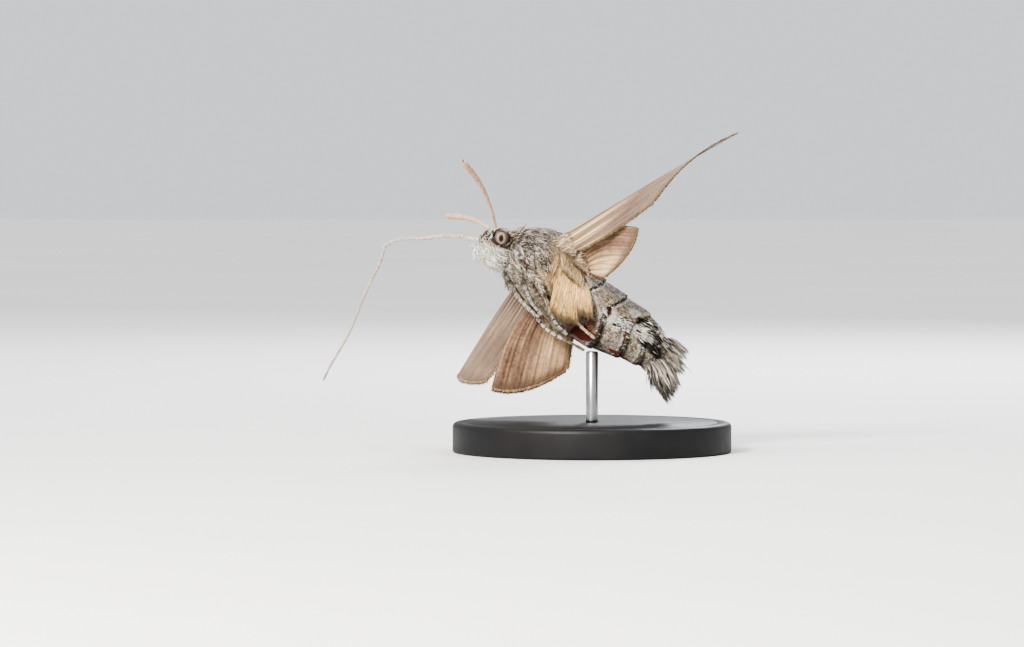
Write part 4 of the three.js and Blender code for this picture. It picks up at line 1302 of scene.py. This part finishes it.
def ring_wave(t, count):
    """0 at the start of each ring, 1 at its middle."""
    return 0.5 - 0.5 * np.cos(2 * np.pi * count * t)


def on_tube(values, sides, ends):
    """Values of a path's places for the points of a tube."""
    return np.concatenate([np.repeat(values, sides), ends])


def make_antenna(side, name, material):
    """Ringed feeler that thickens to a club and ends in a fine hook."""
    start = on_head(ANTENNA_ROOT, side) - ANTENNA_SUNK
    end = on_head(ANTENNA_ROOT + ANTENNA_REACH[side], side)
    t = np.linspace(0, 1, ANTENNA_STEPS)
    step = t[:, None]
    way = start + (end - start) * step + np.array([0, 1, 0]) * ANTENNA_BOW * np.sin(np.pi * step)
    way = way + np.clip((step - HOOK_START) / HOOK_LENGTH, 0, 1) ** 2 * ANTENNA_HOOK
    wave = ring_wave(t, ANTENNA_RINGS)
    radii = np.interp(t, *ANTENNA_RADII) * (0.93 + 0.08 * wave**0.6)
    feeler = tube_object(f"feeler_{name}", place(*way.T), radii, ANTENNA_SIDES)
    tip = 0.7 * smooth(on_tube(t, ANTENNA_SIDES, t[[0, -1]]), HOOK_START, 0.985)
    set_attributes(feeler, {"band": on_tube(wave, ANTENNA_SIDES, wave[[0, -1]]), "dark": tip})
    finish_piece(feeler, material, "antenna", [f"antenna_{name}"])


def tube_places(path, index, angle, across):
    """Directions along and away from a path at the places and angles, from its unit vectors across it."""
    tangent = unit(path[index + 1] - path[index])
    side = across(tangent)
    return tangent, side * np.cos(angle)[:, None] + np.cross(tangent, side) * np.sin(angle)[:, None]


def make_proboscis(material):
    """Two half tubes zipped together, ringed from end to end."""
    route = np.insert(PROBOSCIS_ROUTE, 1, PROBOSCIS_Y, axis=1)
    path = THORAX_CENTRE + smooth_path(route, TONGUE_STEPS)
    t = np.linspace(0, 1, TONGUE_STEPS)
    rings = ring_wave(t, TONGUE_RINGS)
    radii = tapered((0.21 - 0.09 * t) * (0.94 + 0.07 * rings), 12, 0.3)
    tube = tube_object("tongue", path, radii, TONGUE_SIDES, across=np.array([0.0, 1.0, 0.0]))
    points = mesh_points(tube)
    off_groove = np.abs(np.abs(ring_angles(TONGUE_SIDES) - np.pi) - np.pi / 2)
    squeeze = 1 - TONGUE_GROOVE * bell(off_groove, 0, 0.22)[None, :, None]
    body = points[:-2].reshape(TONGUE_STEPS, TONGUE_SIDES, 3)
    body[:] = path[:, None] + (body - path[:, None]) * squeeze
    tube.data.vertices.foreach_set("co", (points * MM).astype(np.float32).ravel())
    tube.data.update()
    set_attributes(tube, {"band": on_tube(rings, TONGUE_SIDES, [0, 0])})
    finish_piece(tube, material, "proboscis", PROBOSCIS_NODES)
    return path, radii


def make_tongue_scales(path, radii):
    """Fine scales on the tongue, closest together near the head."""
    count = TONGUE_SCALES
    way = chance(count) ** 1.6
    index = (way * 0.5 * (len(path) - 2)).astype(int)
    angle = rng.uniform(0, 2 * np.pi, count)
    tangent, normal = tube_places(path, index, angle, lambda along: unit(np.cross(along, (0, 1, 0))))
    roots = path[index] + normal * radii[index][:, None] * 0.95
    length = vary(0.26 - 0.14 * way, count)
    flow = tangent + rng.normal(0, 0.15, (count, 3))
    paths = bent_paths(roots, normal, flow, length, np.radians(20), np.radians(5), sink=0.02)
    marks = even_marks(count, white=0.35 + 0.45 * (chance(count) < 0.5), brown=0.25)
    uv = other_unwrap(0.1 + 0.8 * way, 0.05 + angle / 40)
    coat_piece("tongue_scales", paths, vary(0.06, count), normal, uv, marks, chance(count),
               (COAT, "proboscis"))


FEELER_FINISH = thread_material(
    "feeler", gloss=(0.5, 0.35), noise=(1800, 3), noise_share=0.5,
    stops=((0.2, (0.23, 0.135, 0.085)), (0.5, (0.50, 0.33, 0.225)), (0.8, (0.68, 0.50, 0.37))),
    rough=(4000, 0.4, 0.6), bump_scale=7000, tip=(0.06, 0.035, 0.022))
TONGUE_FINISH = thread_material(
    "tongue", gloss=(0.42, 0.45), noise=(900, 4), noise_share=0.6,
    stops=((0.2, (0.14, 0.10, 0.075)), (0.5, (0.36, 0.29, 0.22)), (0.8, (0.62, 0.55, 0.44))),
    rough=(3000, 0.35, 0.55), bump_scale=8000)
for side, name in SIDES:
    make_antenna(side, name, FEELER_FINISH)
make_tongue_scales(*make_proboscis(TONGUE_FINISH))


# Wings: thin veined membranes with a fringe of scales. The root is in the moth's axes. Tip and rear
# corner are measured from it along X, Y and Z. Bow is that of the front edge, bulge that of the outer
# margin, sag that of the rear edge, and camber the arch across.
WINGS = {
    "forewing_left": {
        "side": 1, "fore": True, "root": (1.6, 2.6, 3.1), "tip": (19.4, -7.6, 11.4),
        "corner": (10.4, -12.6, 4.2), "root_chord": 2.4, "bow": 0.15, "bulge": 0.0, "camber": -0.95,
        "sag": 1.3, "veins": 9},
    "hindwing_left": {
        "side": 1, "fore": False, "root": (-1.4, 2.1, 3.4), "tip": (6.5, -10.9, 3.7),
        "corner": (3.3, -6.4, -1.6), "root_chord": 1.9, "bow": 1.5, "bulge": 1.0, "camber": 0.3, "sag": 0.2,
        "veins": 7},
    "forewing_right": {
        "side": -1, "fore": True, "root": (1.9, 2.3, -3.3), "tip": (-8.6, 15.8, -13.4),
        "corner": (-5.7, 6.6, -13.9), "root_chord": 2.2, "bow": 0.5, "bulge": 0.7, "camber": 0.5, "sag": 1.5,
        "veins": 9},
    "hindwing_right": {
        "side": -1, "fore": False, "root": (-1.6, 1.9, -3.6), "tip": (-7.4, 2.1, -11.9),
        "corner": (0.7, 1.6, -9.8), "root_chord": 1.9, "bow": 1.4, "bulge": 1.1, "camber": 0.3, "sag": 0.2,
        "veins": 7},
}
WING_GRID = (120, 72)
WING_HALF = 0.035
WING_ROOT_HALF = 0.35
WING_ROOT_END = 0.16
WING_SUNK = -0.06
VEIN_RISE = 0.075
PLEAT = 0.07
# Scales of the fringe on the outer and the rear margin
FRINGE_OUTER = 1300
FRINGE_REAR = 900
ROOT_HAIRS = 1200


def wing_axes(wing):
    """Tip, rear corner, and the directions backwards, outwards and across the wing's plane."""
    tip, corner = np.array(wing["tip"]), np.array(wing["corner"])
    back = unit(corner - tip * (corner @ tip) / (tip @ tip))
    return tip, corner, back, unit(tip + corner), unit(np.cross(tip, corner))


def wing_slot(name):
    return name.split("_")[0]


def wing_point(wing, s, t):
    """Middle surface of a wing: s from root to margin, t from front edge to rear edge."""
    tip, corner, back, outward, normal = wing_axes(wing)
    s, t = np.asarray(s, float)[..., None], np.asarray(t, float)[..., None]
    front = tip * s - back * wing["bow"] * np.sin(np.pi * s)
    root_back = -FORWARD * wing["root_chord"]
    rear = root_back + (corner - root_back) * s + back * wing["sag"] * np.sin(np.pi * np.maximum(s, 0))
    arch = 4 * t * (1 - t)
    pleat = PLEAT * np.sin(2 * np.pi * wing["veins"] * t) * np.sin(np.pi * np.clip(s * 1.2, 0, 1))
    return (place(*wing["root"]) + front + (rear - front) * t + outward * wing["bulge"] * arch * s**3
            + normal * (wing["camber"] * arch * s + pleat))


def wing_frame(wing, s, t):
    """Points of the middle surface with the directions outwards and across, and the normal."""
    step = 0.01
    points = wing_point(wing, s, t)
    along = unit(wing_point(wing, s + step, t) - points)
    across = unit(wing_point(wing, s, t + step) - points)
    return points, along, across, unit(np.cross(along, across))


def vein_share(wing, s, t):
    """1 on a vein, 0 between veins; every second vein forks on its way to the margin."""
    found = np.zeros(np.broadcast(s, t).shape)
    fork = 0.5 / wing["veins"] * smooth(s, 0.35, 0.8) * 0.6
    for k in range(wing["veins"] + 1):
        for branch in ((-1, 1) if k % 2 else (0,)):
            gap = np.abs(t - (k / wing["veins"] + fork * branch)) * (5.5 + 6.0 * s)
            found = np.maximum(found, bell(gap, 0, 0.15) * (1 - 0.35 * s))
    return found


def wing_material():
    """Scaled wing: tan and rust below, grey-brown or orange above, with streaks along the veins."""
    finish = Finish("wing_scales", roughness=0.58, specular=0.3, sheen=0.2, sheen_tint=(1.0, 0.85, 0.7))
    fine = finish.noise(3000, 4)
    tone = finish.weighted(fine, 0.45, finish.noise(420, 5, 0.65), 0.55)
    tone = finish.math("ADD", tone, finish.scaled(finish.attribute("streak"), 0.3))
    below = finish.ramp(tone, (0.25, (0.075, 0.040, 0.026)), (0.52, (0.25, 0.155, 0.10)),
                        (0.8, (0.50, 0.355, 0.235)))
    pale = finish.ramp(tone, (0.3, (0.42, 0.28, 0.15)), (0.7, (0.80, 0.56, 0.36)))
    below = finish.tinted(below, {"cream": pale})
    below = finish.mix(finish.scaled(finish.attribute("fore"), 0.4), below, (0.20, 0.16, 0.13))
    grey = finish.ramp(tone, (0.3, (0.085, 0.068, 0.055)), (0.6, (0.20, 0.165, 0.135)),
                       (0.85, (0.34, 0.29, 0.24)))
    orange = finish.ramp(tone, (0.3, (0.36, 0.13, 0.03)), (0.6, (0.56, 0.235, 0.06)),
                         (0.85, (0.68, 0.35, 0.12)))
    above = finish.tinted(orange, {"fore": grey, "line": (0.018, 0.013, 0.011)})
    colour = finish.tinted(above, {"under": below, "gap": (0.085, 0.064, 0.048), "base": (0.27, 0.20, 0.14),
                                   "pale_vein": (0.74, 0.54, 0.33)})
    colour = finish.mix(finish.scaled(finish.attribute("vein"), 0.6), colour, (0.13, 0.07, 0.04))
    finish.colour(finish.tinted(colour, {"rim": (0.11, 0.065, 0.042)}))
    finish.roughness(fine, 0.45, 0.7)
    finish.bump(finish.cells(8500), 0.000015, 0.5)
    return finish.material


def wing_marks(wing, s, t):
    """Shares of the wing's pattern; the cross lines are on the upper side of the forewings only."""
    vein = vein_share(wing, s, t)
    wave = 0.02 * np.sin(19 * t + 1.0) + 0.012 * np.sin(43 * t)
    inner = np.exp(-((s - 0.42 - wave - 0.03 * t) / 0.014) ** 2)
    outer = np.exp(-((s - 0.69 - 1.4 * wave + 0.05 * t) / 0.016) ** 2)
    dot = np.exp(-(((s - 0.56) / 0.018) ** 2 + ((t - 0.3) / 0.05) ** 2))
    line = np.maximum(np.maximum(inner, 0.8 * outer), dot) * wing["fore"]
    rim = smooth(s, 0.88, 1.0) * 0.75 + 0.35 * (1 - smooth(t, 0.0, 0.05)) * wing["fore"]
    if wing["fore"]:
        cream = 0.35 * (1 - smooth(s, 0.1, 0.5)) * smooth(t, 0.35, 0.9)
    else:
        cream = 0.9 * smooth(t, 0.38, 0.72) * (1 - 0.5 * smooth(s, 0.8, 1.0))
        cream = cream + 0.3 * (1 - smooth(s, 0.1, 0.4))
    streak = np.sin(t * 97 + 2.0 * np.sin(s * 5)) * (0.3 + 0.7 * np.sin(t * 23 + 1) ** 2)
    streak = streak + 0.5 * np.sin(t * 29 + s)
    near_root = (1 - smooth(s, 0.2, 0.62)) * wing["fore"]
    uneven = 0.55 + 0.45 * np.sin(t * 17.0 + 2.2 + 1.5 * s)
    pale_vein = np.clip(vein * 1.8, 0, 1) * near_root * uneven
    plain = 1 - pale_vein
    gap = 0.85 * near_root * plain * (0.6 + 0.4 * np.sin(t * 43 + 1.5 + 3 * s))
    rear_half = 0.45 * smooth(t, 0.3, 0.6) * (1 - smooth(s, 0.75, 0.95)) * wing["fore"]
    return {
        "vein": vein * plain, "pale_vein": pale_vein, "gap": np.maximum(gap, rear_half * plain),
        "base": 0.9 * (1 - smooth(s, 0.04, 0.15)) * plain, "line": line, "rim": np.clip(rim, 0, 0.85),
        "cream": np.clip(cream, 0, 0.9), "streak": 0.42 * streak * (1 - 0.35 * s),
    }


def root_half(s):
    """Share of the root's thickness at places along the wing."""
    return 1 - smooth(s, 0.0, WING_ROOT_END)


def make_wing(name, material):
    wing = WINGS[name]
    rows, columns = WING_GRID
    count = rows * columns
    s, t = np.meshgrid(np.linspace(WING_SUNK, 1, rows), np.linspace(0, 1, columns), indexing="ij")
    middle = wing_point(wing, s, t)
    normal = unit(np.cross(np.gradient(middle, axis=0), np.gradient(middle, axis=1)))
    marks = wing_marks(wing, s, t)
    edge = np.minimum(np.minimum(t, 1 - t) * 9, (1 - s) * 14)
    half = (WING_HALF + (WING_ROOT_HALF - WING_HALF) * root_half(s)) * np.sqrt(np.clip(edge, 0.05, 1))
    half = half + VEIN_RISE * np.maximum(marks["vein"], marks["pale_vein"]) * np.clip(edge, 0, 1)
    points = np.stack([middle + normal * half[..., None], middle - normal * half[..., None]]).reshape(-1, 3)
    quads = ring_faces(rows, columns, closed=False)
    grid = np.arange(count).reshape(rows, columns)
    loop = np.concatenate([grid[0], grid[1:, -1], grid[-1, -2::-1], grid[-2:0:-1, 0]])
    following = np.roll(loop, -1)
    rim = np.stack([loop, following, following + count, loop + count], axis=1)
    piece = mesh_object(name + "_scaled", points, np.concatenate([quads[:, ::-1], quads + count, rim]))
    flipped = np.sum(normal * wing_axes(wing)[4], axis=-1).mean() < 0
    under_top = float((wing["side"] < 0) != flipped)
    values = {key: np.tile(value.ravel(), 2) for key, value in marks.items()}
    values["under"] = np.repeat([under_top, 1 - under_top], count)
    values["fore"] = np.full(len(points), float(wing["fore"]))
    set_attributes(piece, values)
    finish_piece(piece, material, wing_slot(name), [name])


def make_fringe(name):
    """Fine scales along the outer and rear margins, in the plane of the wing."""
    wing = WINGS[name]
    s = np.concatenate([np.full(FRINGE_OUTER, 0.995), rng.uniform(0.12, 1, FRINGE_REAR)])
    t = np.concatenate([rng.uniform(0.005, 1, FRINGE_OUTER), np.full(FRINGE_REAR, 0.993)])
    roots, along, across, normal = wing_frame(wing, s, t)
    count = len(s)
    on_outer = (np.arange(count) < FRINGE_OUTER)[:, None]
    direction = np.where(on_outer, along + 0.2 * across, 0.55 * along + across)
    length = vary(0.5 if wing["fore"] else 0.42, count, 0.18)
    flow = unit(direction + rng.normal(0, 0.12, (count, 3)))
    paths = np.stack([roots + flow * (length * k)[:, None] for k in np.linspace(-0.15, 1, 3)], axis=1)
    marks = even_marks(count, brown=0.45, cream=0.2)
    uv = other_unwrap(0.05 + 0.9 * s, 0.02 + 0.9 * t)
    coat_piece(name + "_fringe", paths, vary(0.075, count), normal, uv, marks, rng.uniform(0.3, 0.7, count),
               (COAT, wing_slot(name)), flatness=0.15)


def make_wing_root(name):
    """Long scales over a wing's root, mingled with the thorax coat and swept back on the hindwings."""
    wing = WINGS[name]
    count = ROOT_HAIRS
    reach, longest, sweep = (0.07, 0.95, 0.45) if wing["fore"] else (0.12, 1.2, 0.8)
    s = reach * rng.uniform(-0.3, 1.0, count)
    t = rng.uniform(-0.02, 1.02, count)
    middle, outward, _, normal = wing_frame(wing, s, t)
    normals = normal * rng.choice([-1.0, 1.0], count)[:, None]
    roots = middle + normals * ((WING_ROOT_HALF * root_half(s))[:, None] + 0.03)
    length = vary(longest * (1 - 0.4 * np.clip(s, 0, 1) / reach), count, 0.3)
    flow = outward - FORWARD * sweep + rng.normal(0, 0.16, (count, 3))
    lift = np.radians(7) * rng.uniform(0.4, 1.6, count)
    paths = curled(bent_paths(roots, normals, flow, length, lift, np.radians(3), 4), normals, 0.12)
    pale = chance(count)
    brown = 0.4 * (chance(count) < 0.5)
    marks = even_marks(count, cream=0.05 + 0.3 * pale, brown=brown, white=0.3 * (pale > 0.8))
    uv = trunk_unwrap(0.5 + s * 4, 120.0 * wing["side"] + 20 * t)
    coat_piece(name + "_root_hair", paths, vary(0.075, count), normals, uv, marks, grain(count),
               (LONG_HAIR, "cream_fur"))


WING_FINISH = wing_material()
for name in WINGS:
    make_wing(name, WING_FINISH)
    make_fringe(name)
for name in WINGS:
    make_wing_root(name)


# Legs: folded along the belly, scaled, with banded feet; side, and places and angles along the trunk
LEGS = {
    "leg_fore_left": (1, ((3.8, 20), (2.4, 31), (0.8, 26), (-0.8, 14), (-2.2, 9))),
    "leg_fore_right": (-1, ((3.8, 20), (2.4, 31), (0.8, 26), (-0.8, 14), (-2.2, 9))),
    "leg_mid_left": (1, ((1.8, 48), (0.2, 51), (-1.8, 40), (-4.0, 24), (-5.6, 14))),
    "leg_mid_right": (-1, ((1.8, 44), (0.2, 47), (-1.8, 36), (-4.0, 22), (-5.6, 14))),
    "leg_hind_left": (1, ((-0.8, 65), (-2.6, 64), (-4.8, 51), (-6.8, 41), (-8.2, 36))),
    "leg_hind_right": (-1, ((-1.3, 56), (-2.9, 55), (-4.8, 44), (-6.8, 37), (-8.2, 34))),
}
LEG_LIFTS = {"fore": 0.08, "mid": 0.3, "hind": 0.42}
LEG_BANDS = {"fore": 0.45, "mid": 1.0, "hind": 0.35}
# Radius along a leg: thigh, shin and foot
LEG_RADII = ((0, 0.08, 0.22, 0.30, 0.36, 0.50, 0.54, 1.0), (0.24, 0.33, 0.30, 0.19, 0.22, 0.2, 0.14, 0.1))
# Depth of the leg's knots in the coat, the first one inside the body
LEG_SUNK = (0.6, 0.03, 0.06, 0.09, 0.12)
LEG_STEPS = 160
LEG_SIDES = 14
LEG_SCALES = 2200
FOOT_START = 0.52
FOOT_JOINTS = 5
# Pairs of spurs and claws: place along the leg, length, spread in degrees
CLAWS = (0.995, 0.16, 26)
SPURS = ((0.5, 0.85, 22), (0.4, 0.7, 26))


def leg_kind(name):
    return name.split("_")[1]


def leg_path(name):
    side, route = LEGS[name]
    lift = LEG_LIFTS[leg_kind(name)]
    points = [surface_point(f, side * angle, lift - depth) for (f, angle), depth in zip(route, LEG_SUNK)]
    return smooth_path(points, LEG_STEPS)


def foot_place(t):
    """0 above the foot, rising to 1 at its end."""
    return np.clip((t - FOOT_START) / (1 - FOOT_START), 0, 1)


def leg_radii(t):
    """Thigh, shin and five foot joints, with a fine end."""
    foot = foot_place(t)
    waist = np.exp(-((foot * FOOT_JOINTS + 0.5) % 1 - 0.5) ** 2 / 0.012)
    return tapered(np.interp(t, *LEG_RADII) * (1 - 0.22 * (foot > 0) * waist), 5, 0.35)


def leg_marks(name, t, angle):
    """Mottled thigh and shin, and pale foot joints parted by narrow dark bands, plainest on the hind legs."""
    kind = leg_kind(name)
    foot = foot_place(t)
    on_foot = foot > 0
    band = on_foot * smooth(np.abs((foot * FOOT_JOINTS) % 1 - 0.5), 0.36, 0.44)
    wave = np.sin(41 * t + 2.6 * np.sin(angle + 9 * t)) + 0.8 * np.sin(67 * t + 2 * angle)
    mottle = smooth(wave + 0.5 * np.sin(131 * t - 3 * angle), -0.2, 0.9) * ~on_foot
    dark = np.maximum(0.9 * band * LEG_BANDS[kind], 0.4 * mottle)
    white = (0.25 + 0.45 * on_foot * LEG_BANDS[kind]) * (1 - dark)
    cream = (0.15 + 0.45 * (kind == "hind")) * (1 - dark)
    return {"dark": dark, "white": white, "red": 0 * t, "cream": cream, "brown": 0.55 * mottle}


def make_leg(name):
    path = leg_path(name)
    t = np.linspace(0, 1, LEG_STEPS)
    radii = leg_radii(t)
    limb = tube_object(name + "_limb", path, radii * 0.82, LEG_SIDES)
    turns = np.concatenate([np.tile(ring_angles(LEG_SIDES), LEG_STEPS), [0, 0]])
    set_attributes(limb, leg_marks(name, on_tube(t, LEG_SIDES, [0, 1]), turns))
    finish_piece(limb, SKIN, "leg", [name])

    count = LEG_SCALES
    way = rng.uniform(0.0, 0.985, count)
    angle = rng.uniform(0, 2 * np.pi, count)
    index = (way * (LEG_STEPS - 2)).astype(int)
    tangent, normal = tube_places(path, index, angle, lambda along: square_to(along, LEFTWARD))
    roots = path[index] + normal * (radii[index] * 0.8)[:, None]
    thigh = 1 - smooth(way, 0.3, 0.42)
    length = vary(0.3 + 0.42 * thigh, count)
    flow = tangent + rng.normal(0, 1, (count, 3)) * (0.12 + 0.14 * thigh)[:, None]
    lift = np.radians(20) * rng.uniform(0.5, 1.6, count)
    paths = bent_paths(roots, normal, flow, length, lift, np.radians(5), sink=0.03)
    uv = trunk_unwrap(1.0 - 4 * way, LEGS[name][0] * 30 + 20 * np.cos(angle))
    coat_piece(name + "_scales", paths, vary(0.085, count), normal, uv, leg_marks(name, way, angle),
               chance(count), (COAT, "leg"), flatness=0.3)


def make_spurs():
    """Pairs of spurs on the shins of the middle and hind legs, and claws on every foot."""
    paths, facings = [], []
    for name in LEGS:
        path = leg_path(name)
        tangent = unit(np.gradient(path, axis=0))
        for way, length, spread in ((CLAWS,) if leg_kind(name) == "fore" else (*SPURS, CLAWS)):
            k = int(way * (LEG_STEPS - 1))
            for side in (-1, 1):
                across = unit(np.cross(tangent[k], LEFTWARD)) * 0.4 + LEFTWARD * side
                heading = unit(tangent[k] + across * math.tan(math.radians(spread)))
                root = path[k] + across * 0.08
                paths.append(root + heading * np.linspace(0, length, 5)[:, None])
                facings.append(np.cross(heading, LEFTWARD))
    count = len(paths)
    uv = trunk_unwrap(np.linspace(0, -4, count), np.full(count, 10.0))
    coat_piece("spurs", np.array(paths), np.full(count, 0.13), unit(np.array(facings)), uv,
               even_marks(count, dark=0.35, cream=0.4), chance(count), (COAT, "leg"), flatness=0.8)


for name in LEGS:
    make_leg(name)
make_spurs()


# Stand, floor, lights and camera
FLOOR_SIZE = 4000.0
BASE_RADIUS = 15.0
BASE_HEIGHT = 3.2
BASE_BEVEL = 0.5
BASE_FOOT_BEVEL = 0.25
BASE_SIDES = 160
# Fine groove near the base's edge: distances inwards and depths
BASE_GROOVE = ((1.4, 0), (1.5, 0.06), (1.6, 0))
ROD_RADIUS = 0.65
ROD_BEVEL = 0.1
ROD_SUNK = 0.3
ROD_AT = (0.0, -0.6)
ROD_SIDES = 48
ROD_STRETCH = 0.05
AXIS = 0.01
# Camera: the photograph's scale and framing
PHOTO_WIDTH = 1024
PIXELS_PER_MM = 9.3
CAMERA_TARGET = np.array([-8.6, 0.0, 13.8])
CAMERA_DISTANCE = 500.0
CAMERA_ELEVATION = math.radians(2.0)
SENSOR_WIDTH = 36.0
LIGHT_TARGET = np.array([-5, 0, 16])


def turned_object(name, profile, centre, sides):
    """Solid turned from a profile of radius and height, closed on the axis at both ends."""
    profile = np.asarray(profile, float)
    turns = ring_angles(sides)
    ring = np.stack([np.cos(turns), np.sin(turns), np.zeros(sides)], axis=1)
    points = np.array([*centre, 0.0]) + profile[:, None, :1] * ring
    points = points + profile[:, None, 1:] * np.array([0, 0, 1.0])
    return mesh_object(name, *closed_form(points, len(profile), sides))


def rounded_corner(radius, height, bevel, start):
    """Quarter circle of a bevel, from the start angle in degrees."""
    a = np.radians(start + np.linspace(0, 90, 8))
    return [(radius - bevel + bevel * math.cos(v), height + bevel * math.sin(v)) for v in a]


def make_base():
    """Turned base in satin black lacquer, in place of the faceted solid."""
    look = Finish("stand_lacquer", roughness=0.5, specular=0.4)
    look.colour(look.ramp(look.noise(260, 5), (0.3, (0.010, 0.010, 0.011)), (0.7, (0.017, 0.016, 0.016))))
    look.roughness(look.noise(900, 4), 0.42, 0.58)
    look.bump(look.noise(2400, 3), 0.00002, 0.3)
    low = rounded_corner(BASE_RADIUS, BASE_FOOT_BEVEL, BASE_FOOT_BEVEL, -90)
    high = rounded_corner(BASE_RADIUS, BASE_HEIGHT - BASE_BEVEL, BASE_BEVEL, 0)
    groove = [(BASE_RADIUS - inward, BASE_HEIGHT - depth) for inward, depth in BASE_GROOVE]
    profile = [(AXIS, 0.0)] + low + high + groove + [(4.0, BASE_HEIGHT), (AXIS, BASE_HEIGHT)]
    plate = turned_object("stand_plate", profile, (0, 0), BASE_SIDES)
    finish_piece(plate, look.material, "stand", ["stand_base"])


def make_rod():
    """Brushed steel rod between the base and the abdomen."""
    look = Finish("stand_steel", roughness=0.28, specular=0.5)
    look.shader.inputs["Metallic"].default_value = 1.0
    look.colour(look.ramp(look.noise(500, 4), (0.3, (0.42, 0.41, 0.40)), (0.7, (0.56, 0.55, 0.53))))
    look.roughness(look.noise(1500, 3, stretch=ROD_STRETCH), 0.2, 0.4)
    look.bump(look.noise(5000, 2, stretch=ROD_STRETCH), 0.00001, 0.3)
    foot, top = (corner[2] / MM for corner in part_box("stand_rod"))
    profile = [(AXIS, foot - ROD_SUNK), (ROD_RADIUS, foot - ROD_SUNK), (ROD_RADIUS, foot),
               (ROD_RADIUS, top - ROD_BEVEL), (ROD_RADIUS - ROD_BEVEL, top), (AXIS, top)]
    stem = turned_object("stand_stem", profile, ROD_AT, ROD_SIDES)
    finish_piece(stem, look.material, "rod", ["stand_rod"])


def make_floor():
    half = FLOOR_SIZE / 2
    points = np.array([[-half, -half, 0], [half, -half, 0], [half, half, 0], [-half, half, 0]])
    floor = mesh_object("floor", points, [[0, 1, 2, 3]])
    look = Finish("floor_paper", roughness=0.85, specular=0.15)
    look.colour(look.ramp(look.noise(9, 3), (0.3, (0.66, 0.655, 0.64)), (0.7, (0.69, 0.685, 0.67))))
    floor.data.materials.append(look.material)


def linked(name, data, towards):
    """Object in the scene whose own -Z looks along the direction."""
    made = bpy.data.objects.new(name, data)
    made.rotation_euler = Vector(towards).to_track_quat("-Z", "Y").to_euler()
    bpy.context.scene.collection.objects.link(made)
    return made


def light_data(name, kind, power, colour):
    data = bpy.data.lights.new(name, kind)
    data.energy = power
    data.color = colour
    return data


def add_area_light(name, offset, size, power, colour):
    """Round light at an offset from the moth, which it faces."""
    data = light_data(name, "AREA", power, colour)
    data.shape = "DISK"
    data.size = size * MM
    offset = np.array(offset, float)
    linked(name, data, offset * -1).location = Vector(LIGHT_TARGET + offset) * MM


def make_lights():
    """Key and rim light, and a broad even sun, so that the floor stays as pale far away as near."""
    world = bpy.data.worlds.new("studio")
    world.use_nodes = True
    background = world.node_tree.nodes["Background"].inputs
    background["Color"].default_value = (0.93, 0.95, 1.0, 1)
    background["Strength"].default_value = 0.7
    bpy.context.scene.world = world
    sun = light_data("overhead", "SUN", 1.5, (1.0, 0.98, 0.95))
    sun.angle = math.radians(25)
    linked("overhead", sun, (0.35, 0.45, -1.0))
    add_area_light("key", (-150, -300, 190), 90, 1.9, (1.0, 0.97, 0.92))
    add_area_light("rim", (90, 260, 200), 120, 0.8, (0.95, 0.98, 1.0))


def make_camera():
    data = bpy.data.cameras.new("camera")
    data.type = "PERSP"
    data.sensor_fit = "HORIZONTAL"
    data.sensor_width = SENSOR_WIDTH
    data.lens = SENSOR_WIDTH * CAMERA_DISTANCE / (PHOTO_WIDTH / PIXELS_PER_MM)
    data.clip_start = 0.02
    data.clip_end = 20
    back = np.array([0.0, -math.cos(CAMERA_ELEVATION), math.sin(CAMERA_ELEVATION)])
    camera = linked("camera", data, -back)
    camera.location = Vector(CAMERA_TARGET + back * CAMERA_DISTANCE) * MM
    bpy.context.scene.camera = camera
    bpy.context.scene.view_settings.look = "AgX - High Contrast"


make_base()
make_rod()
make_floor()
make_lights()
make_camera()

bpy.context.view_layer.update()
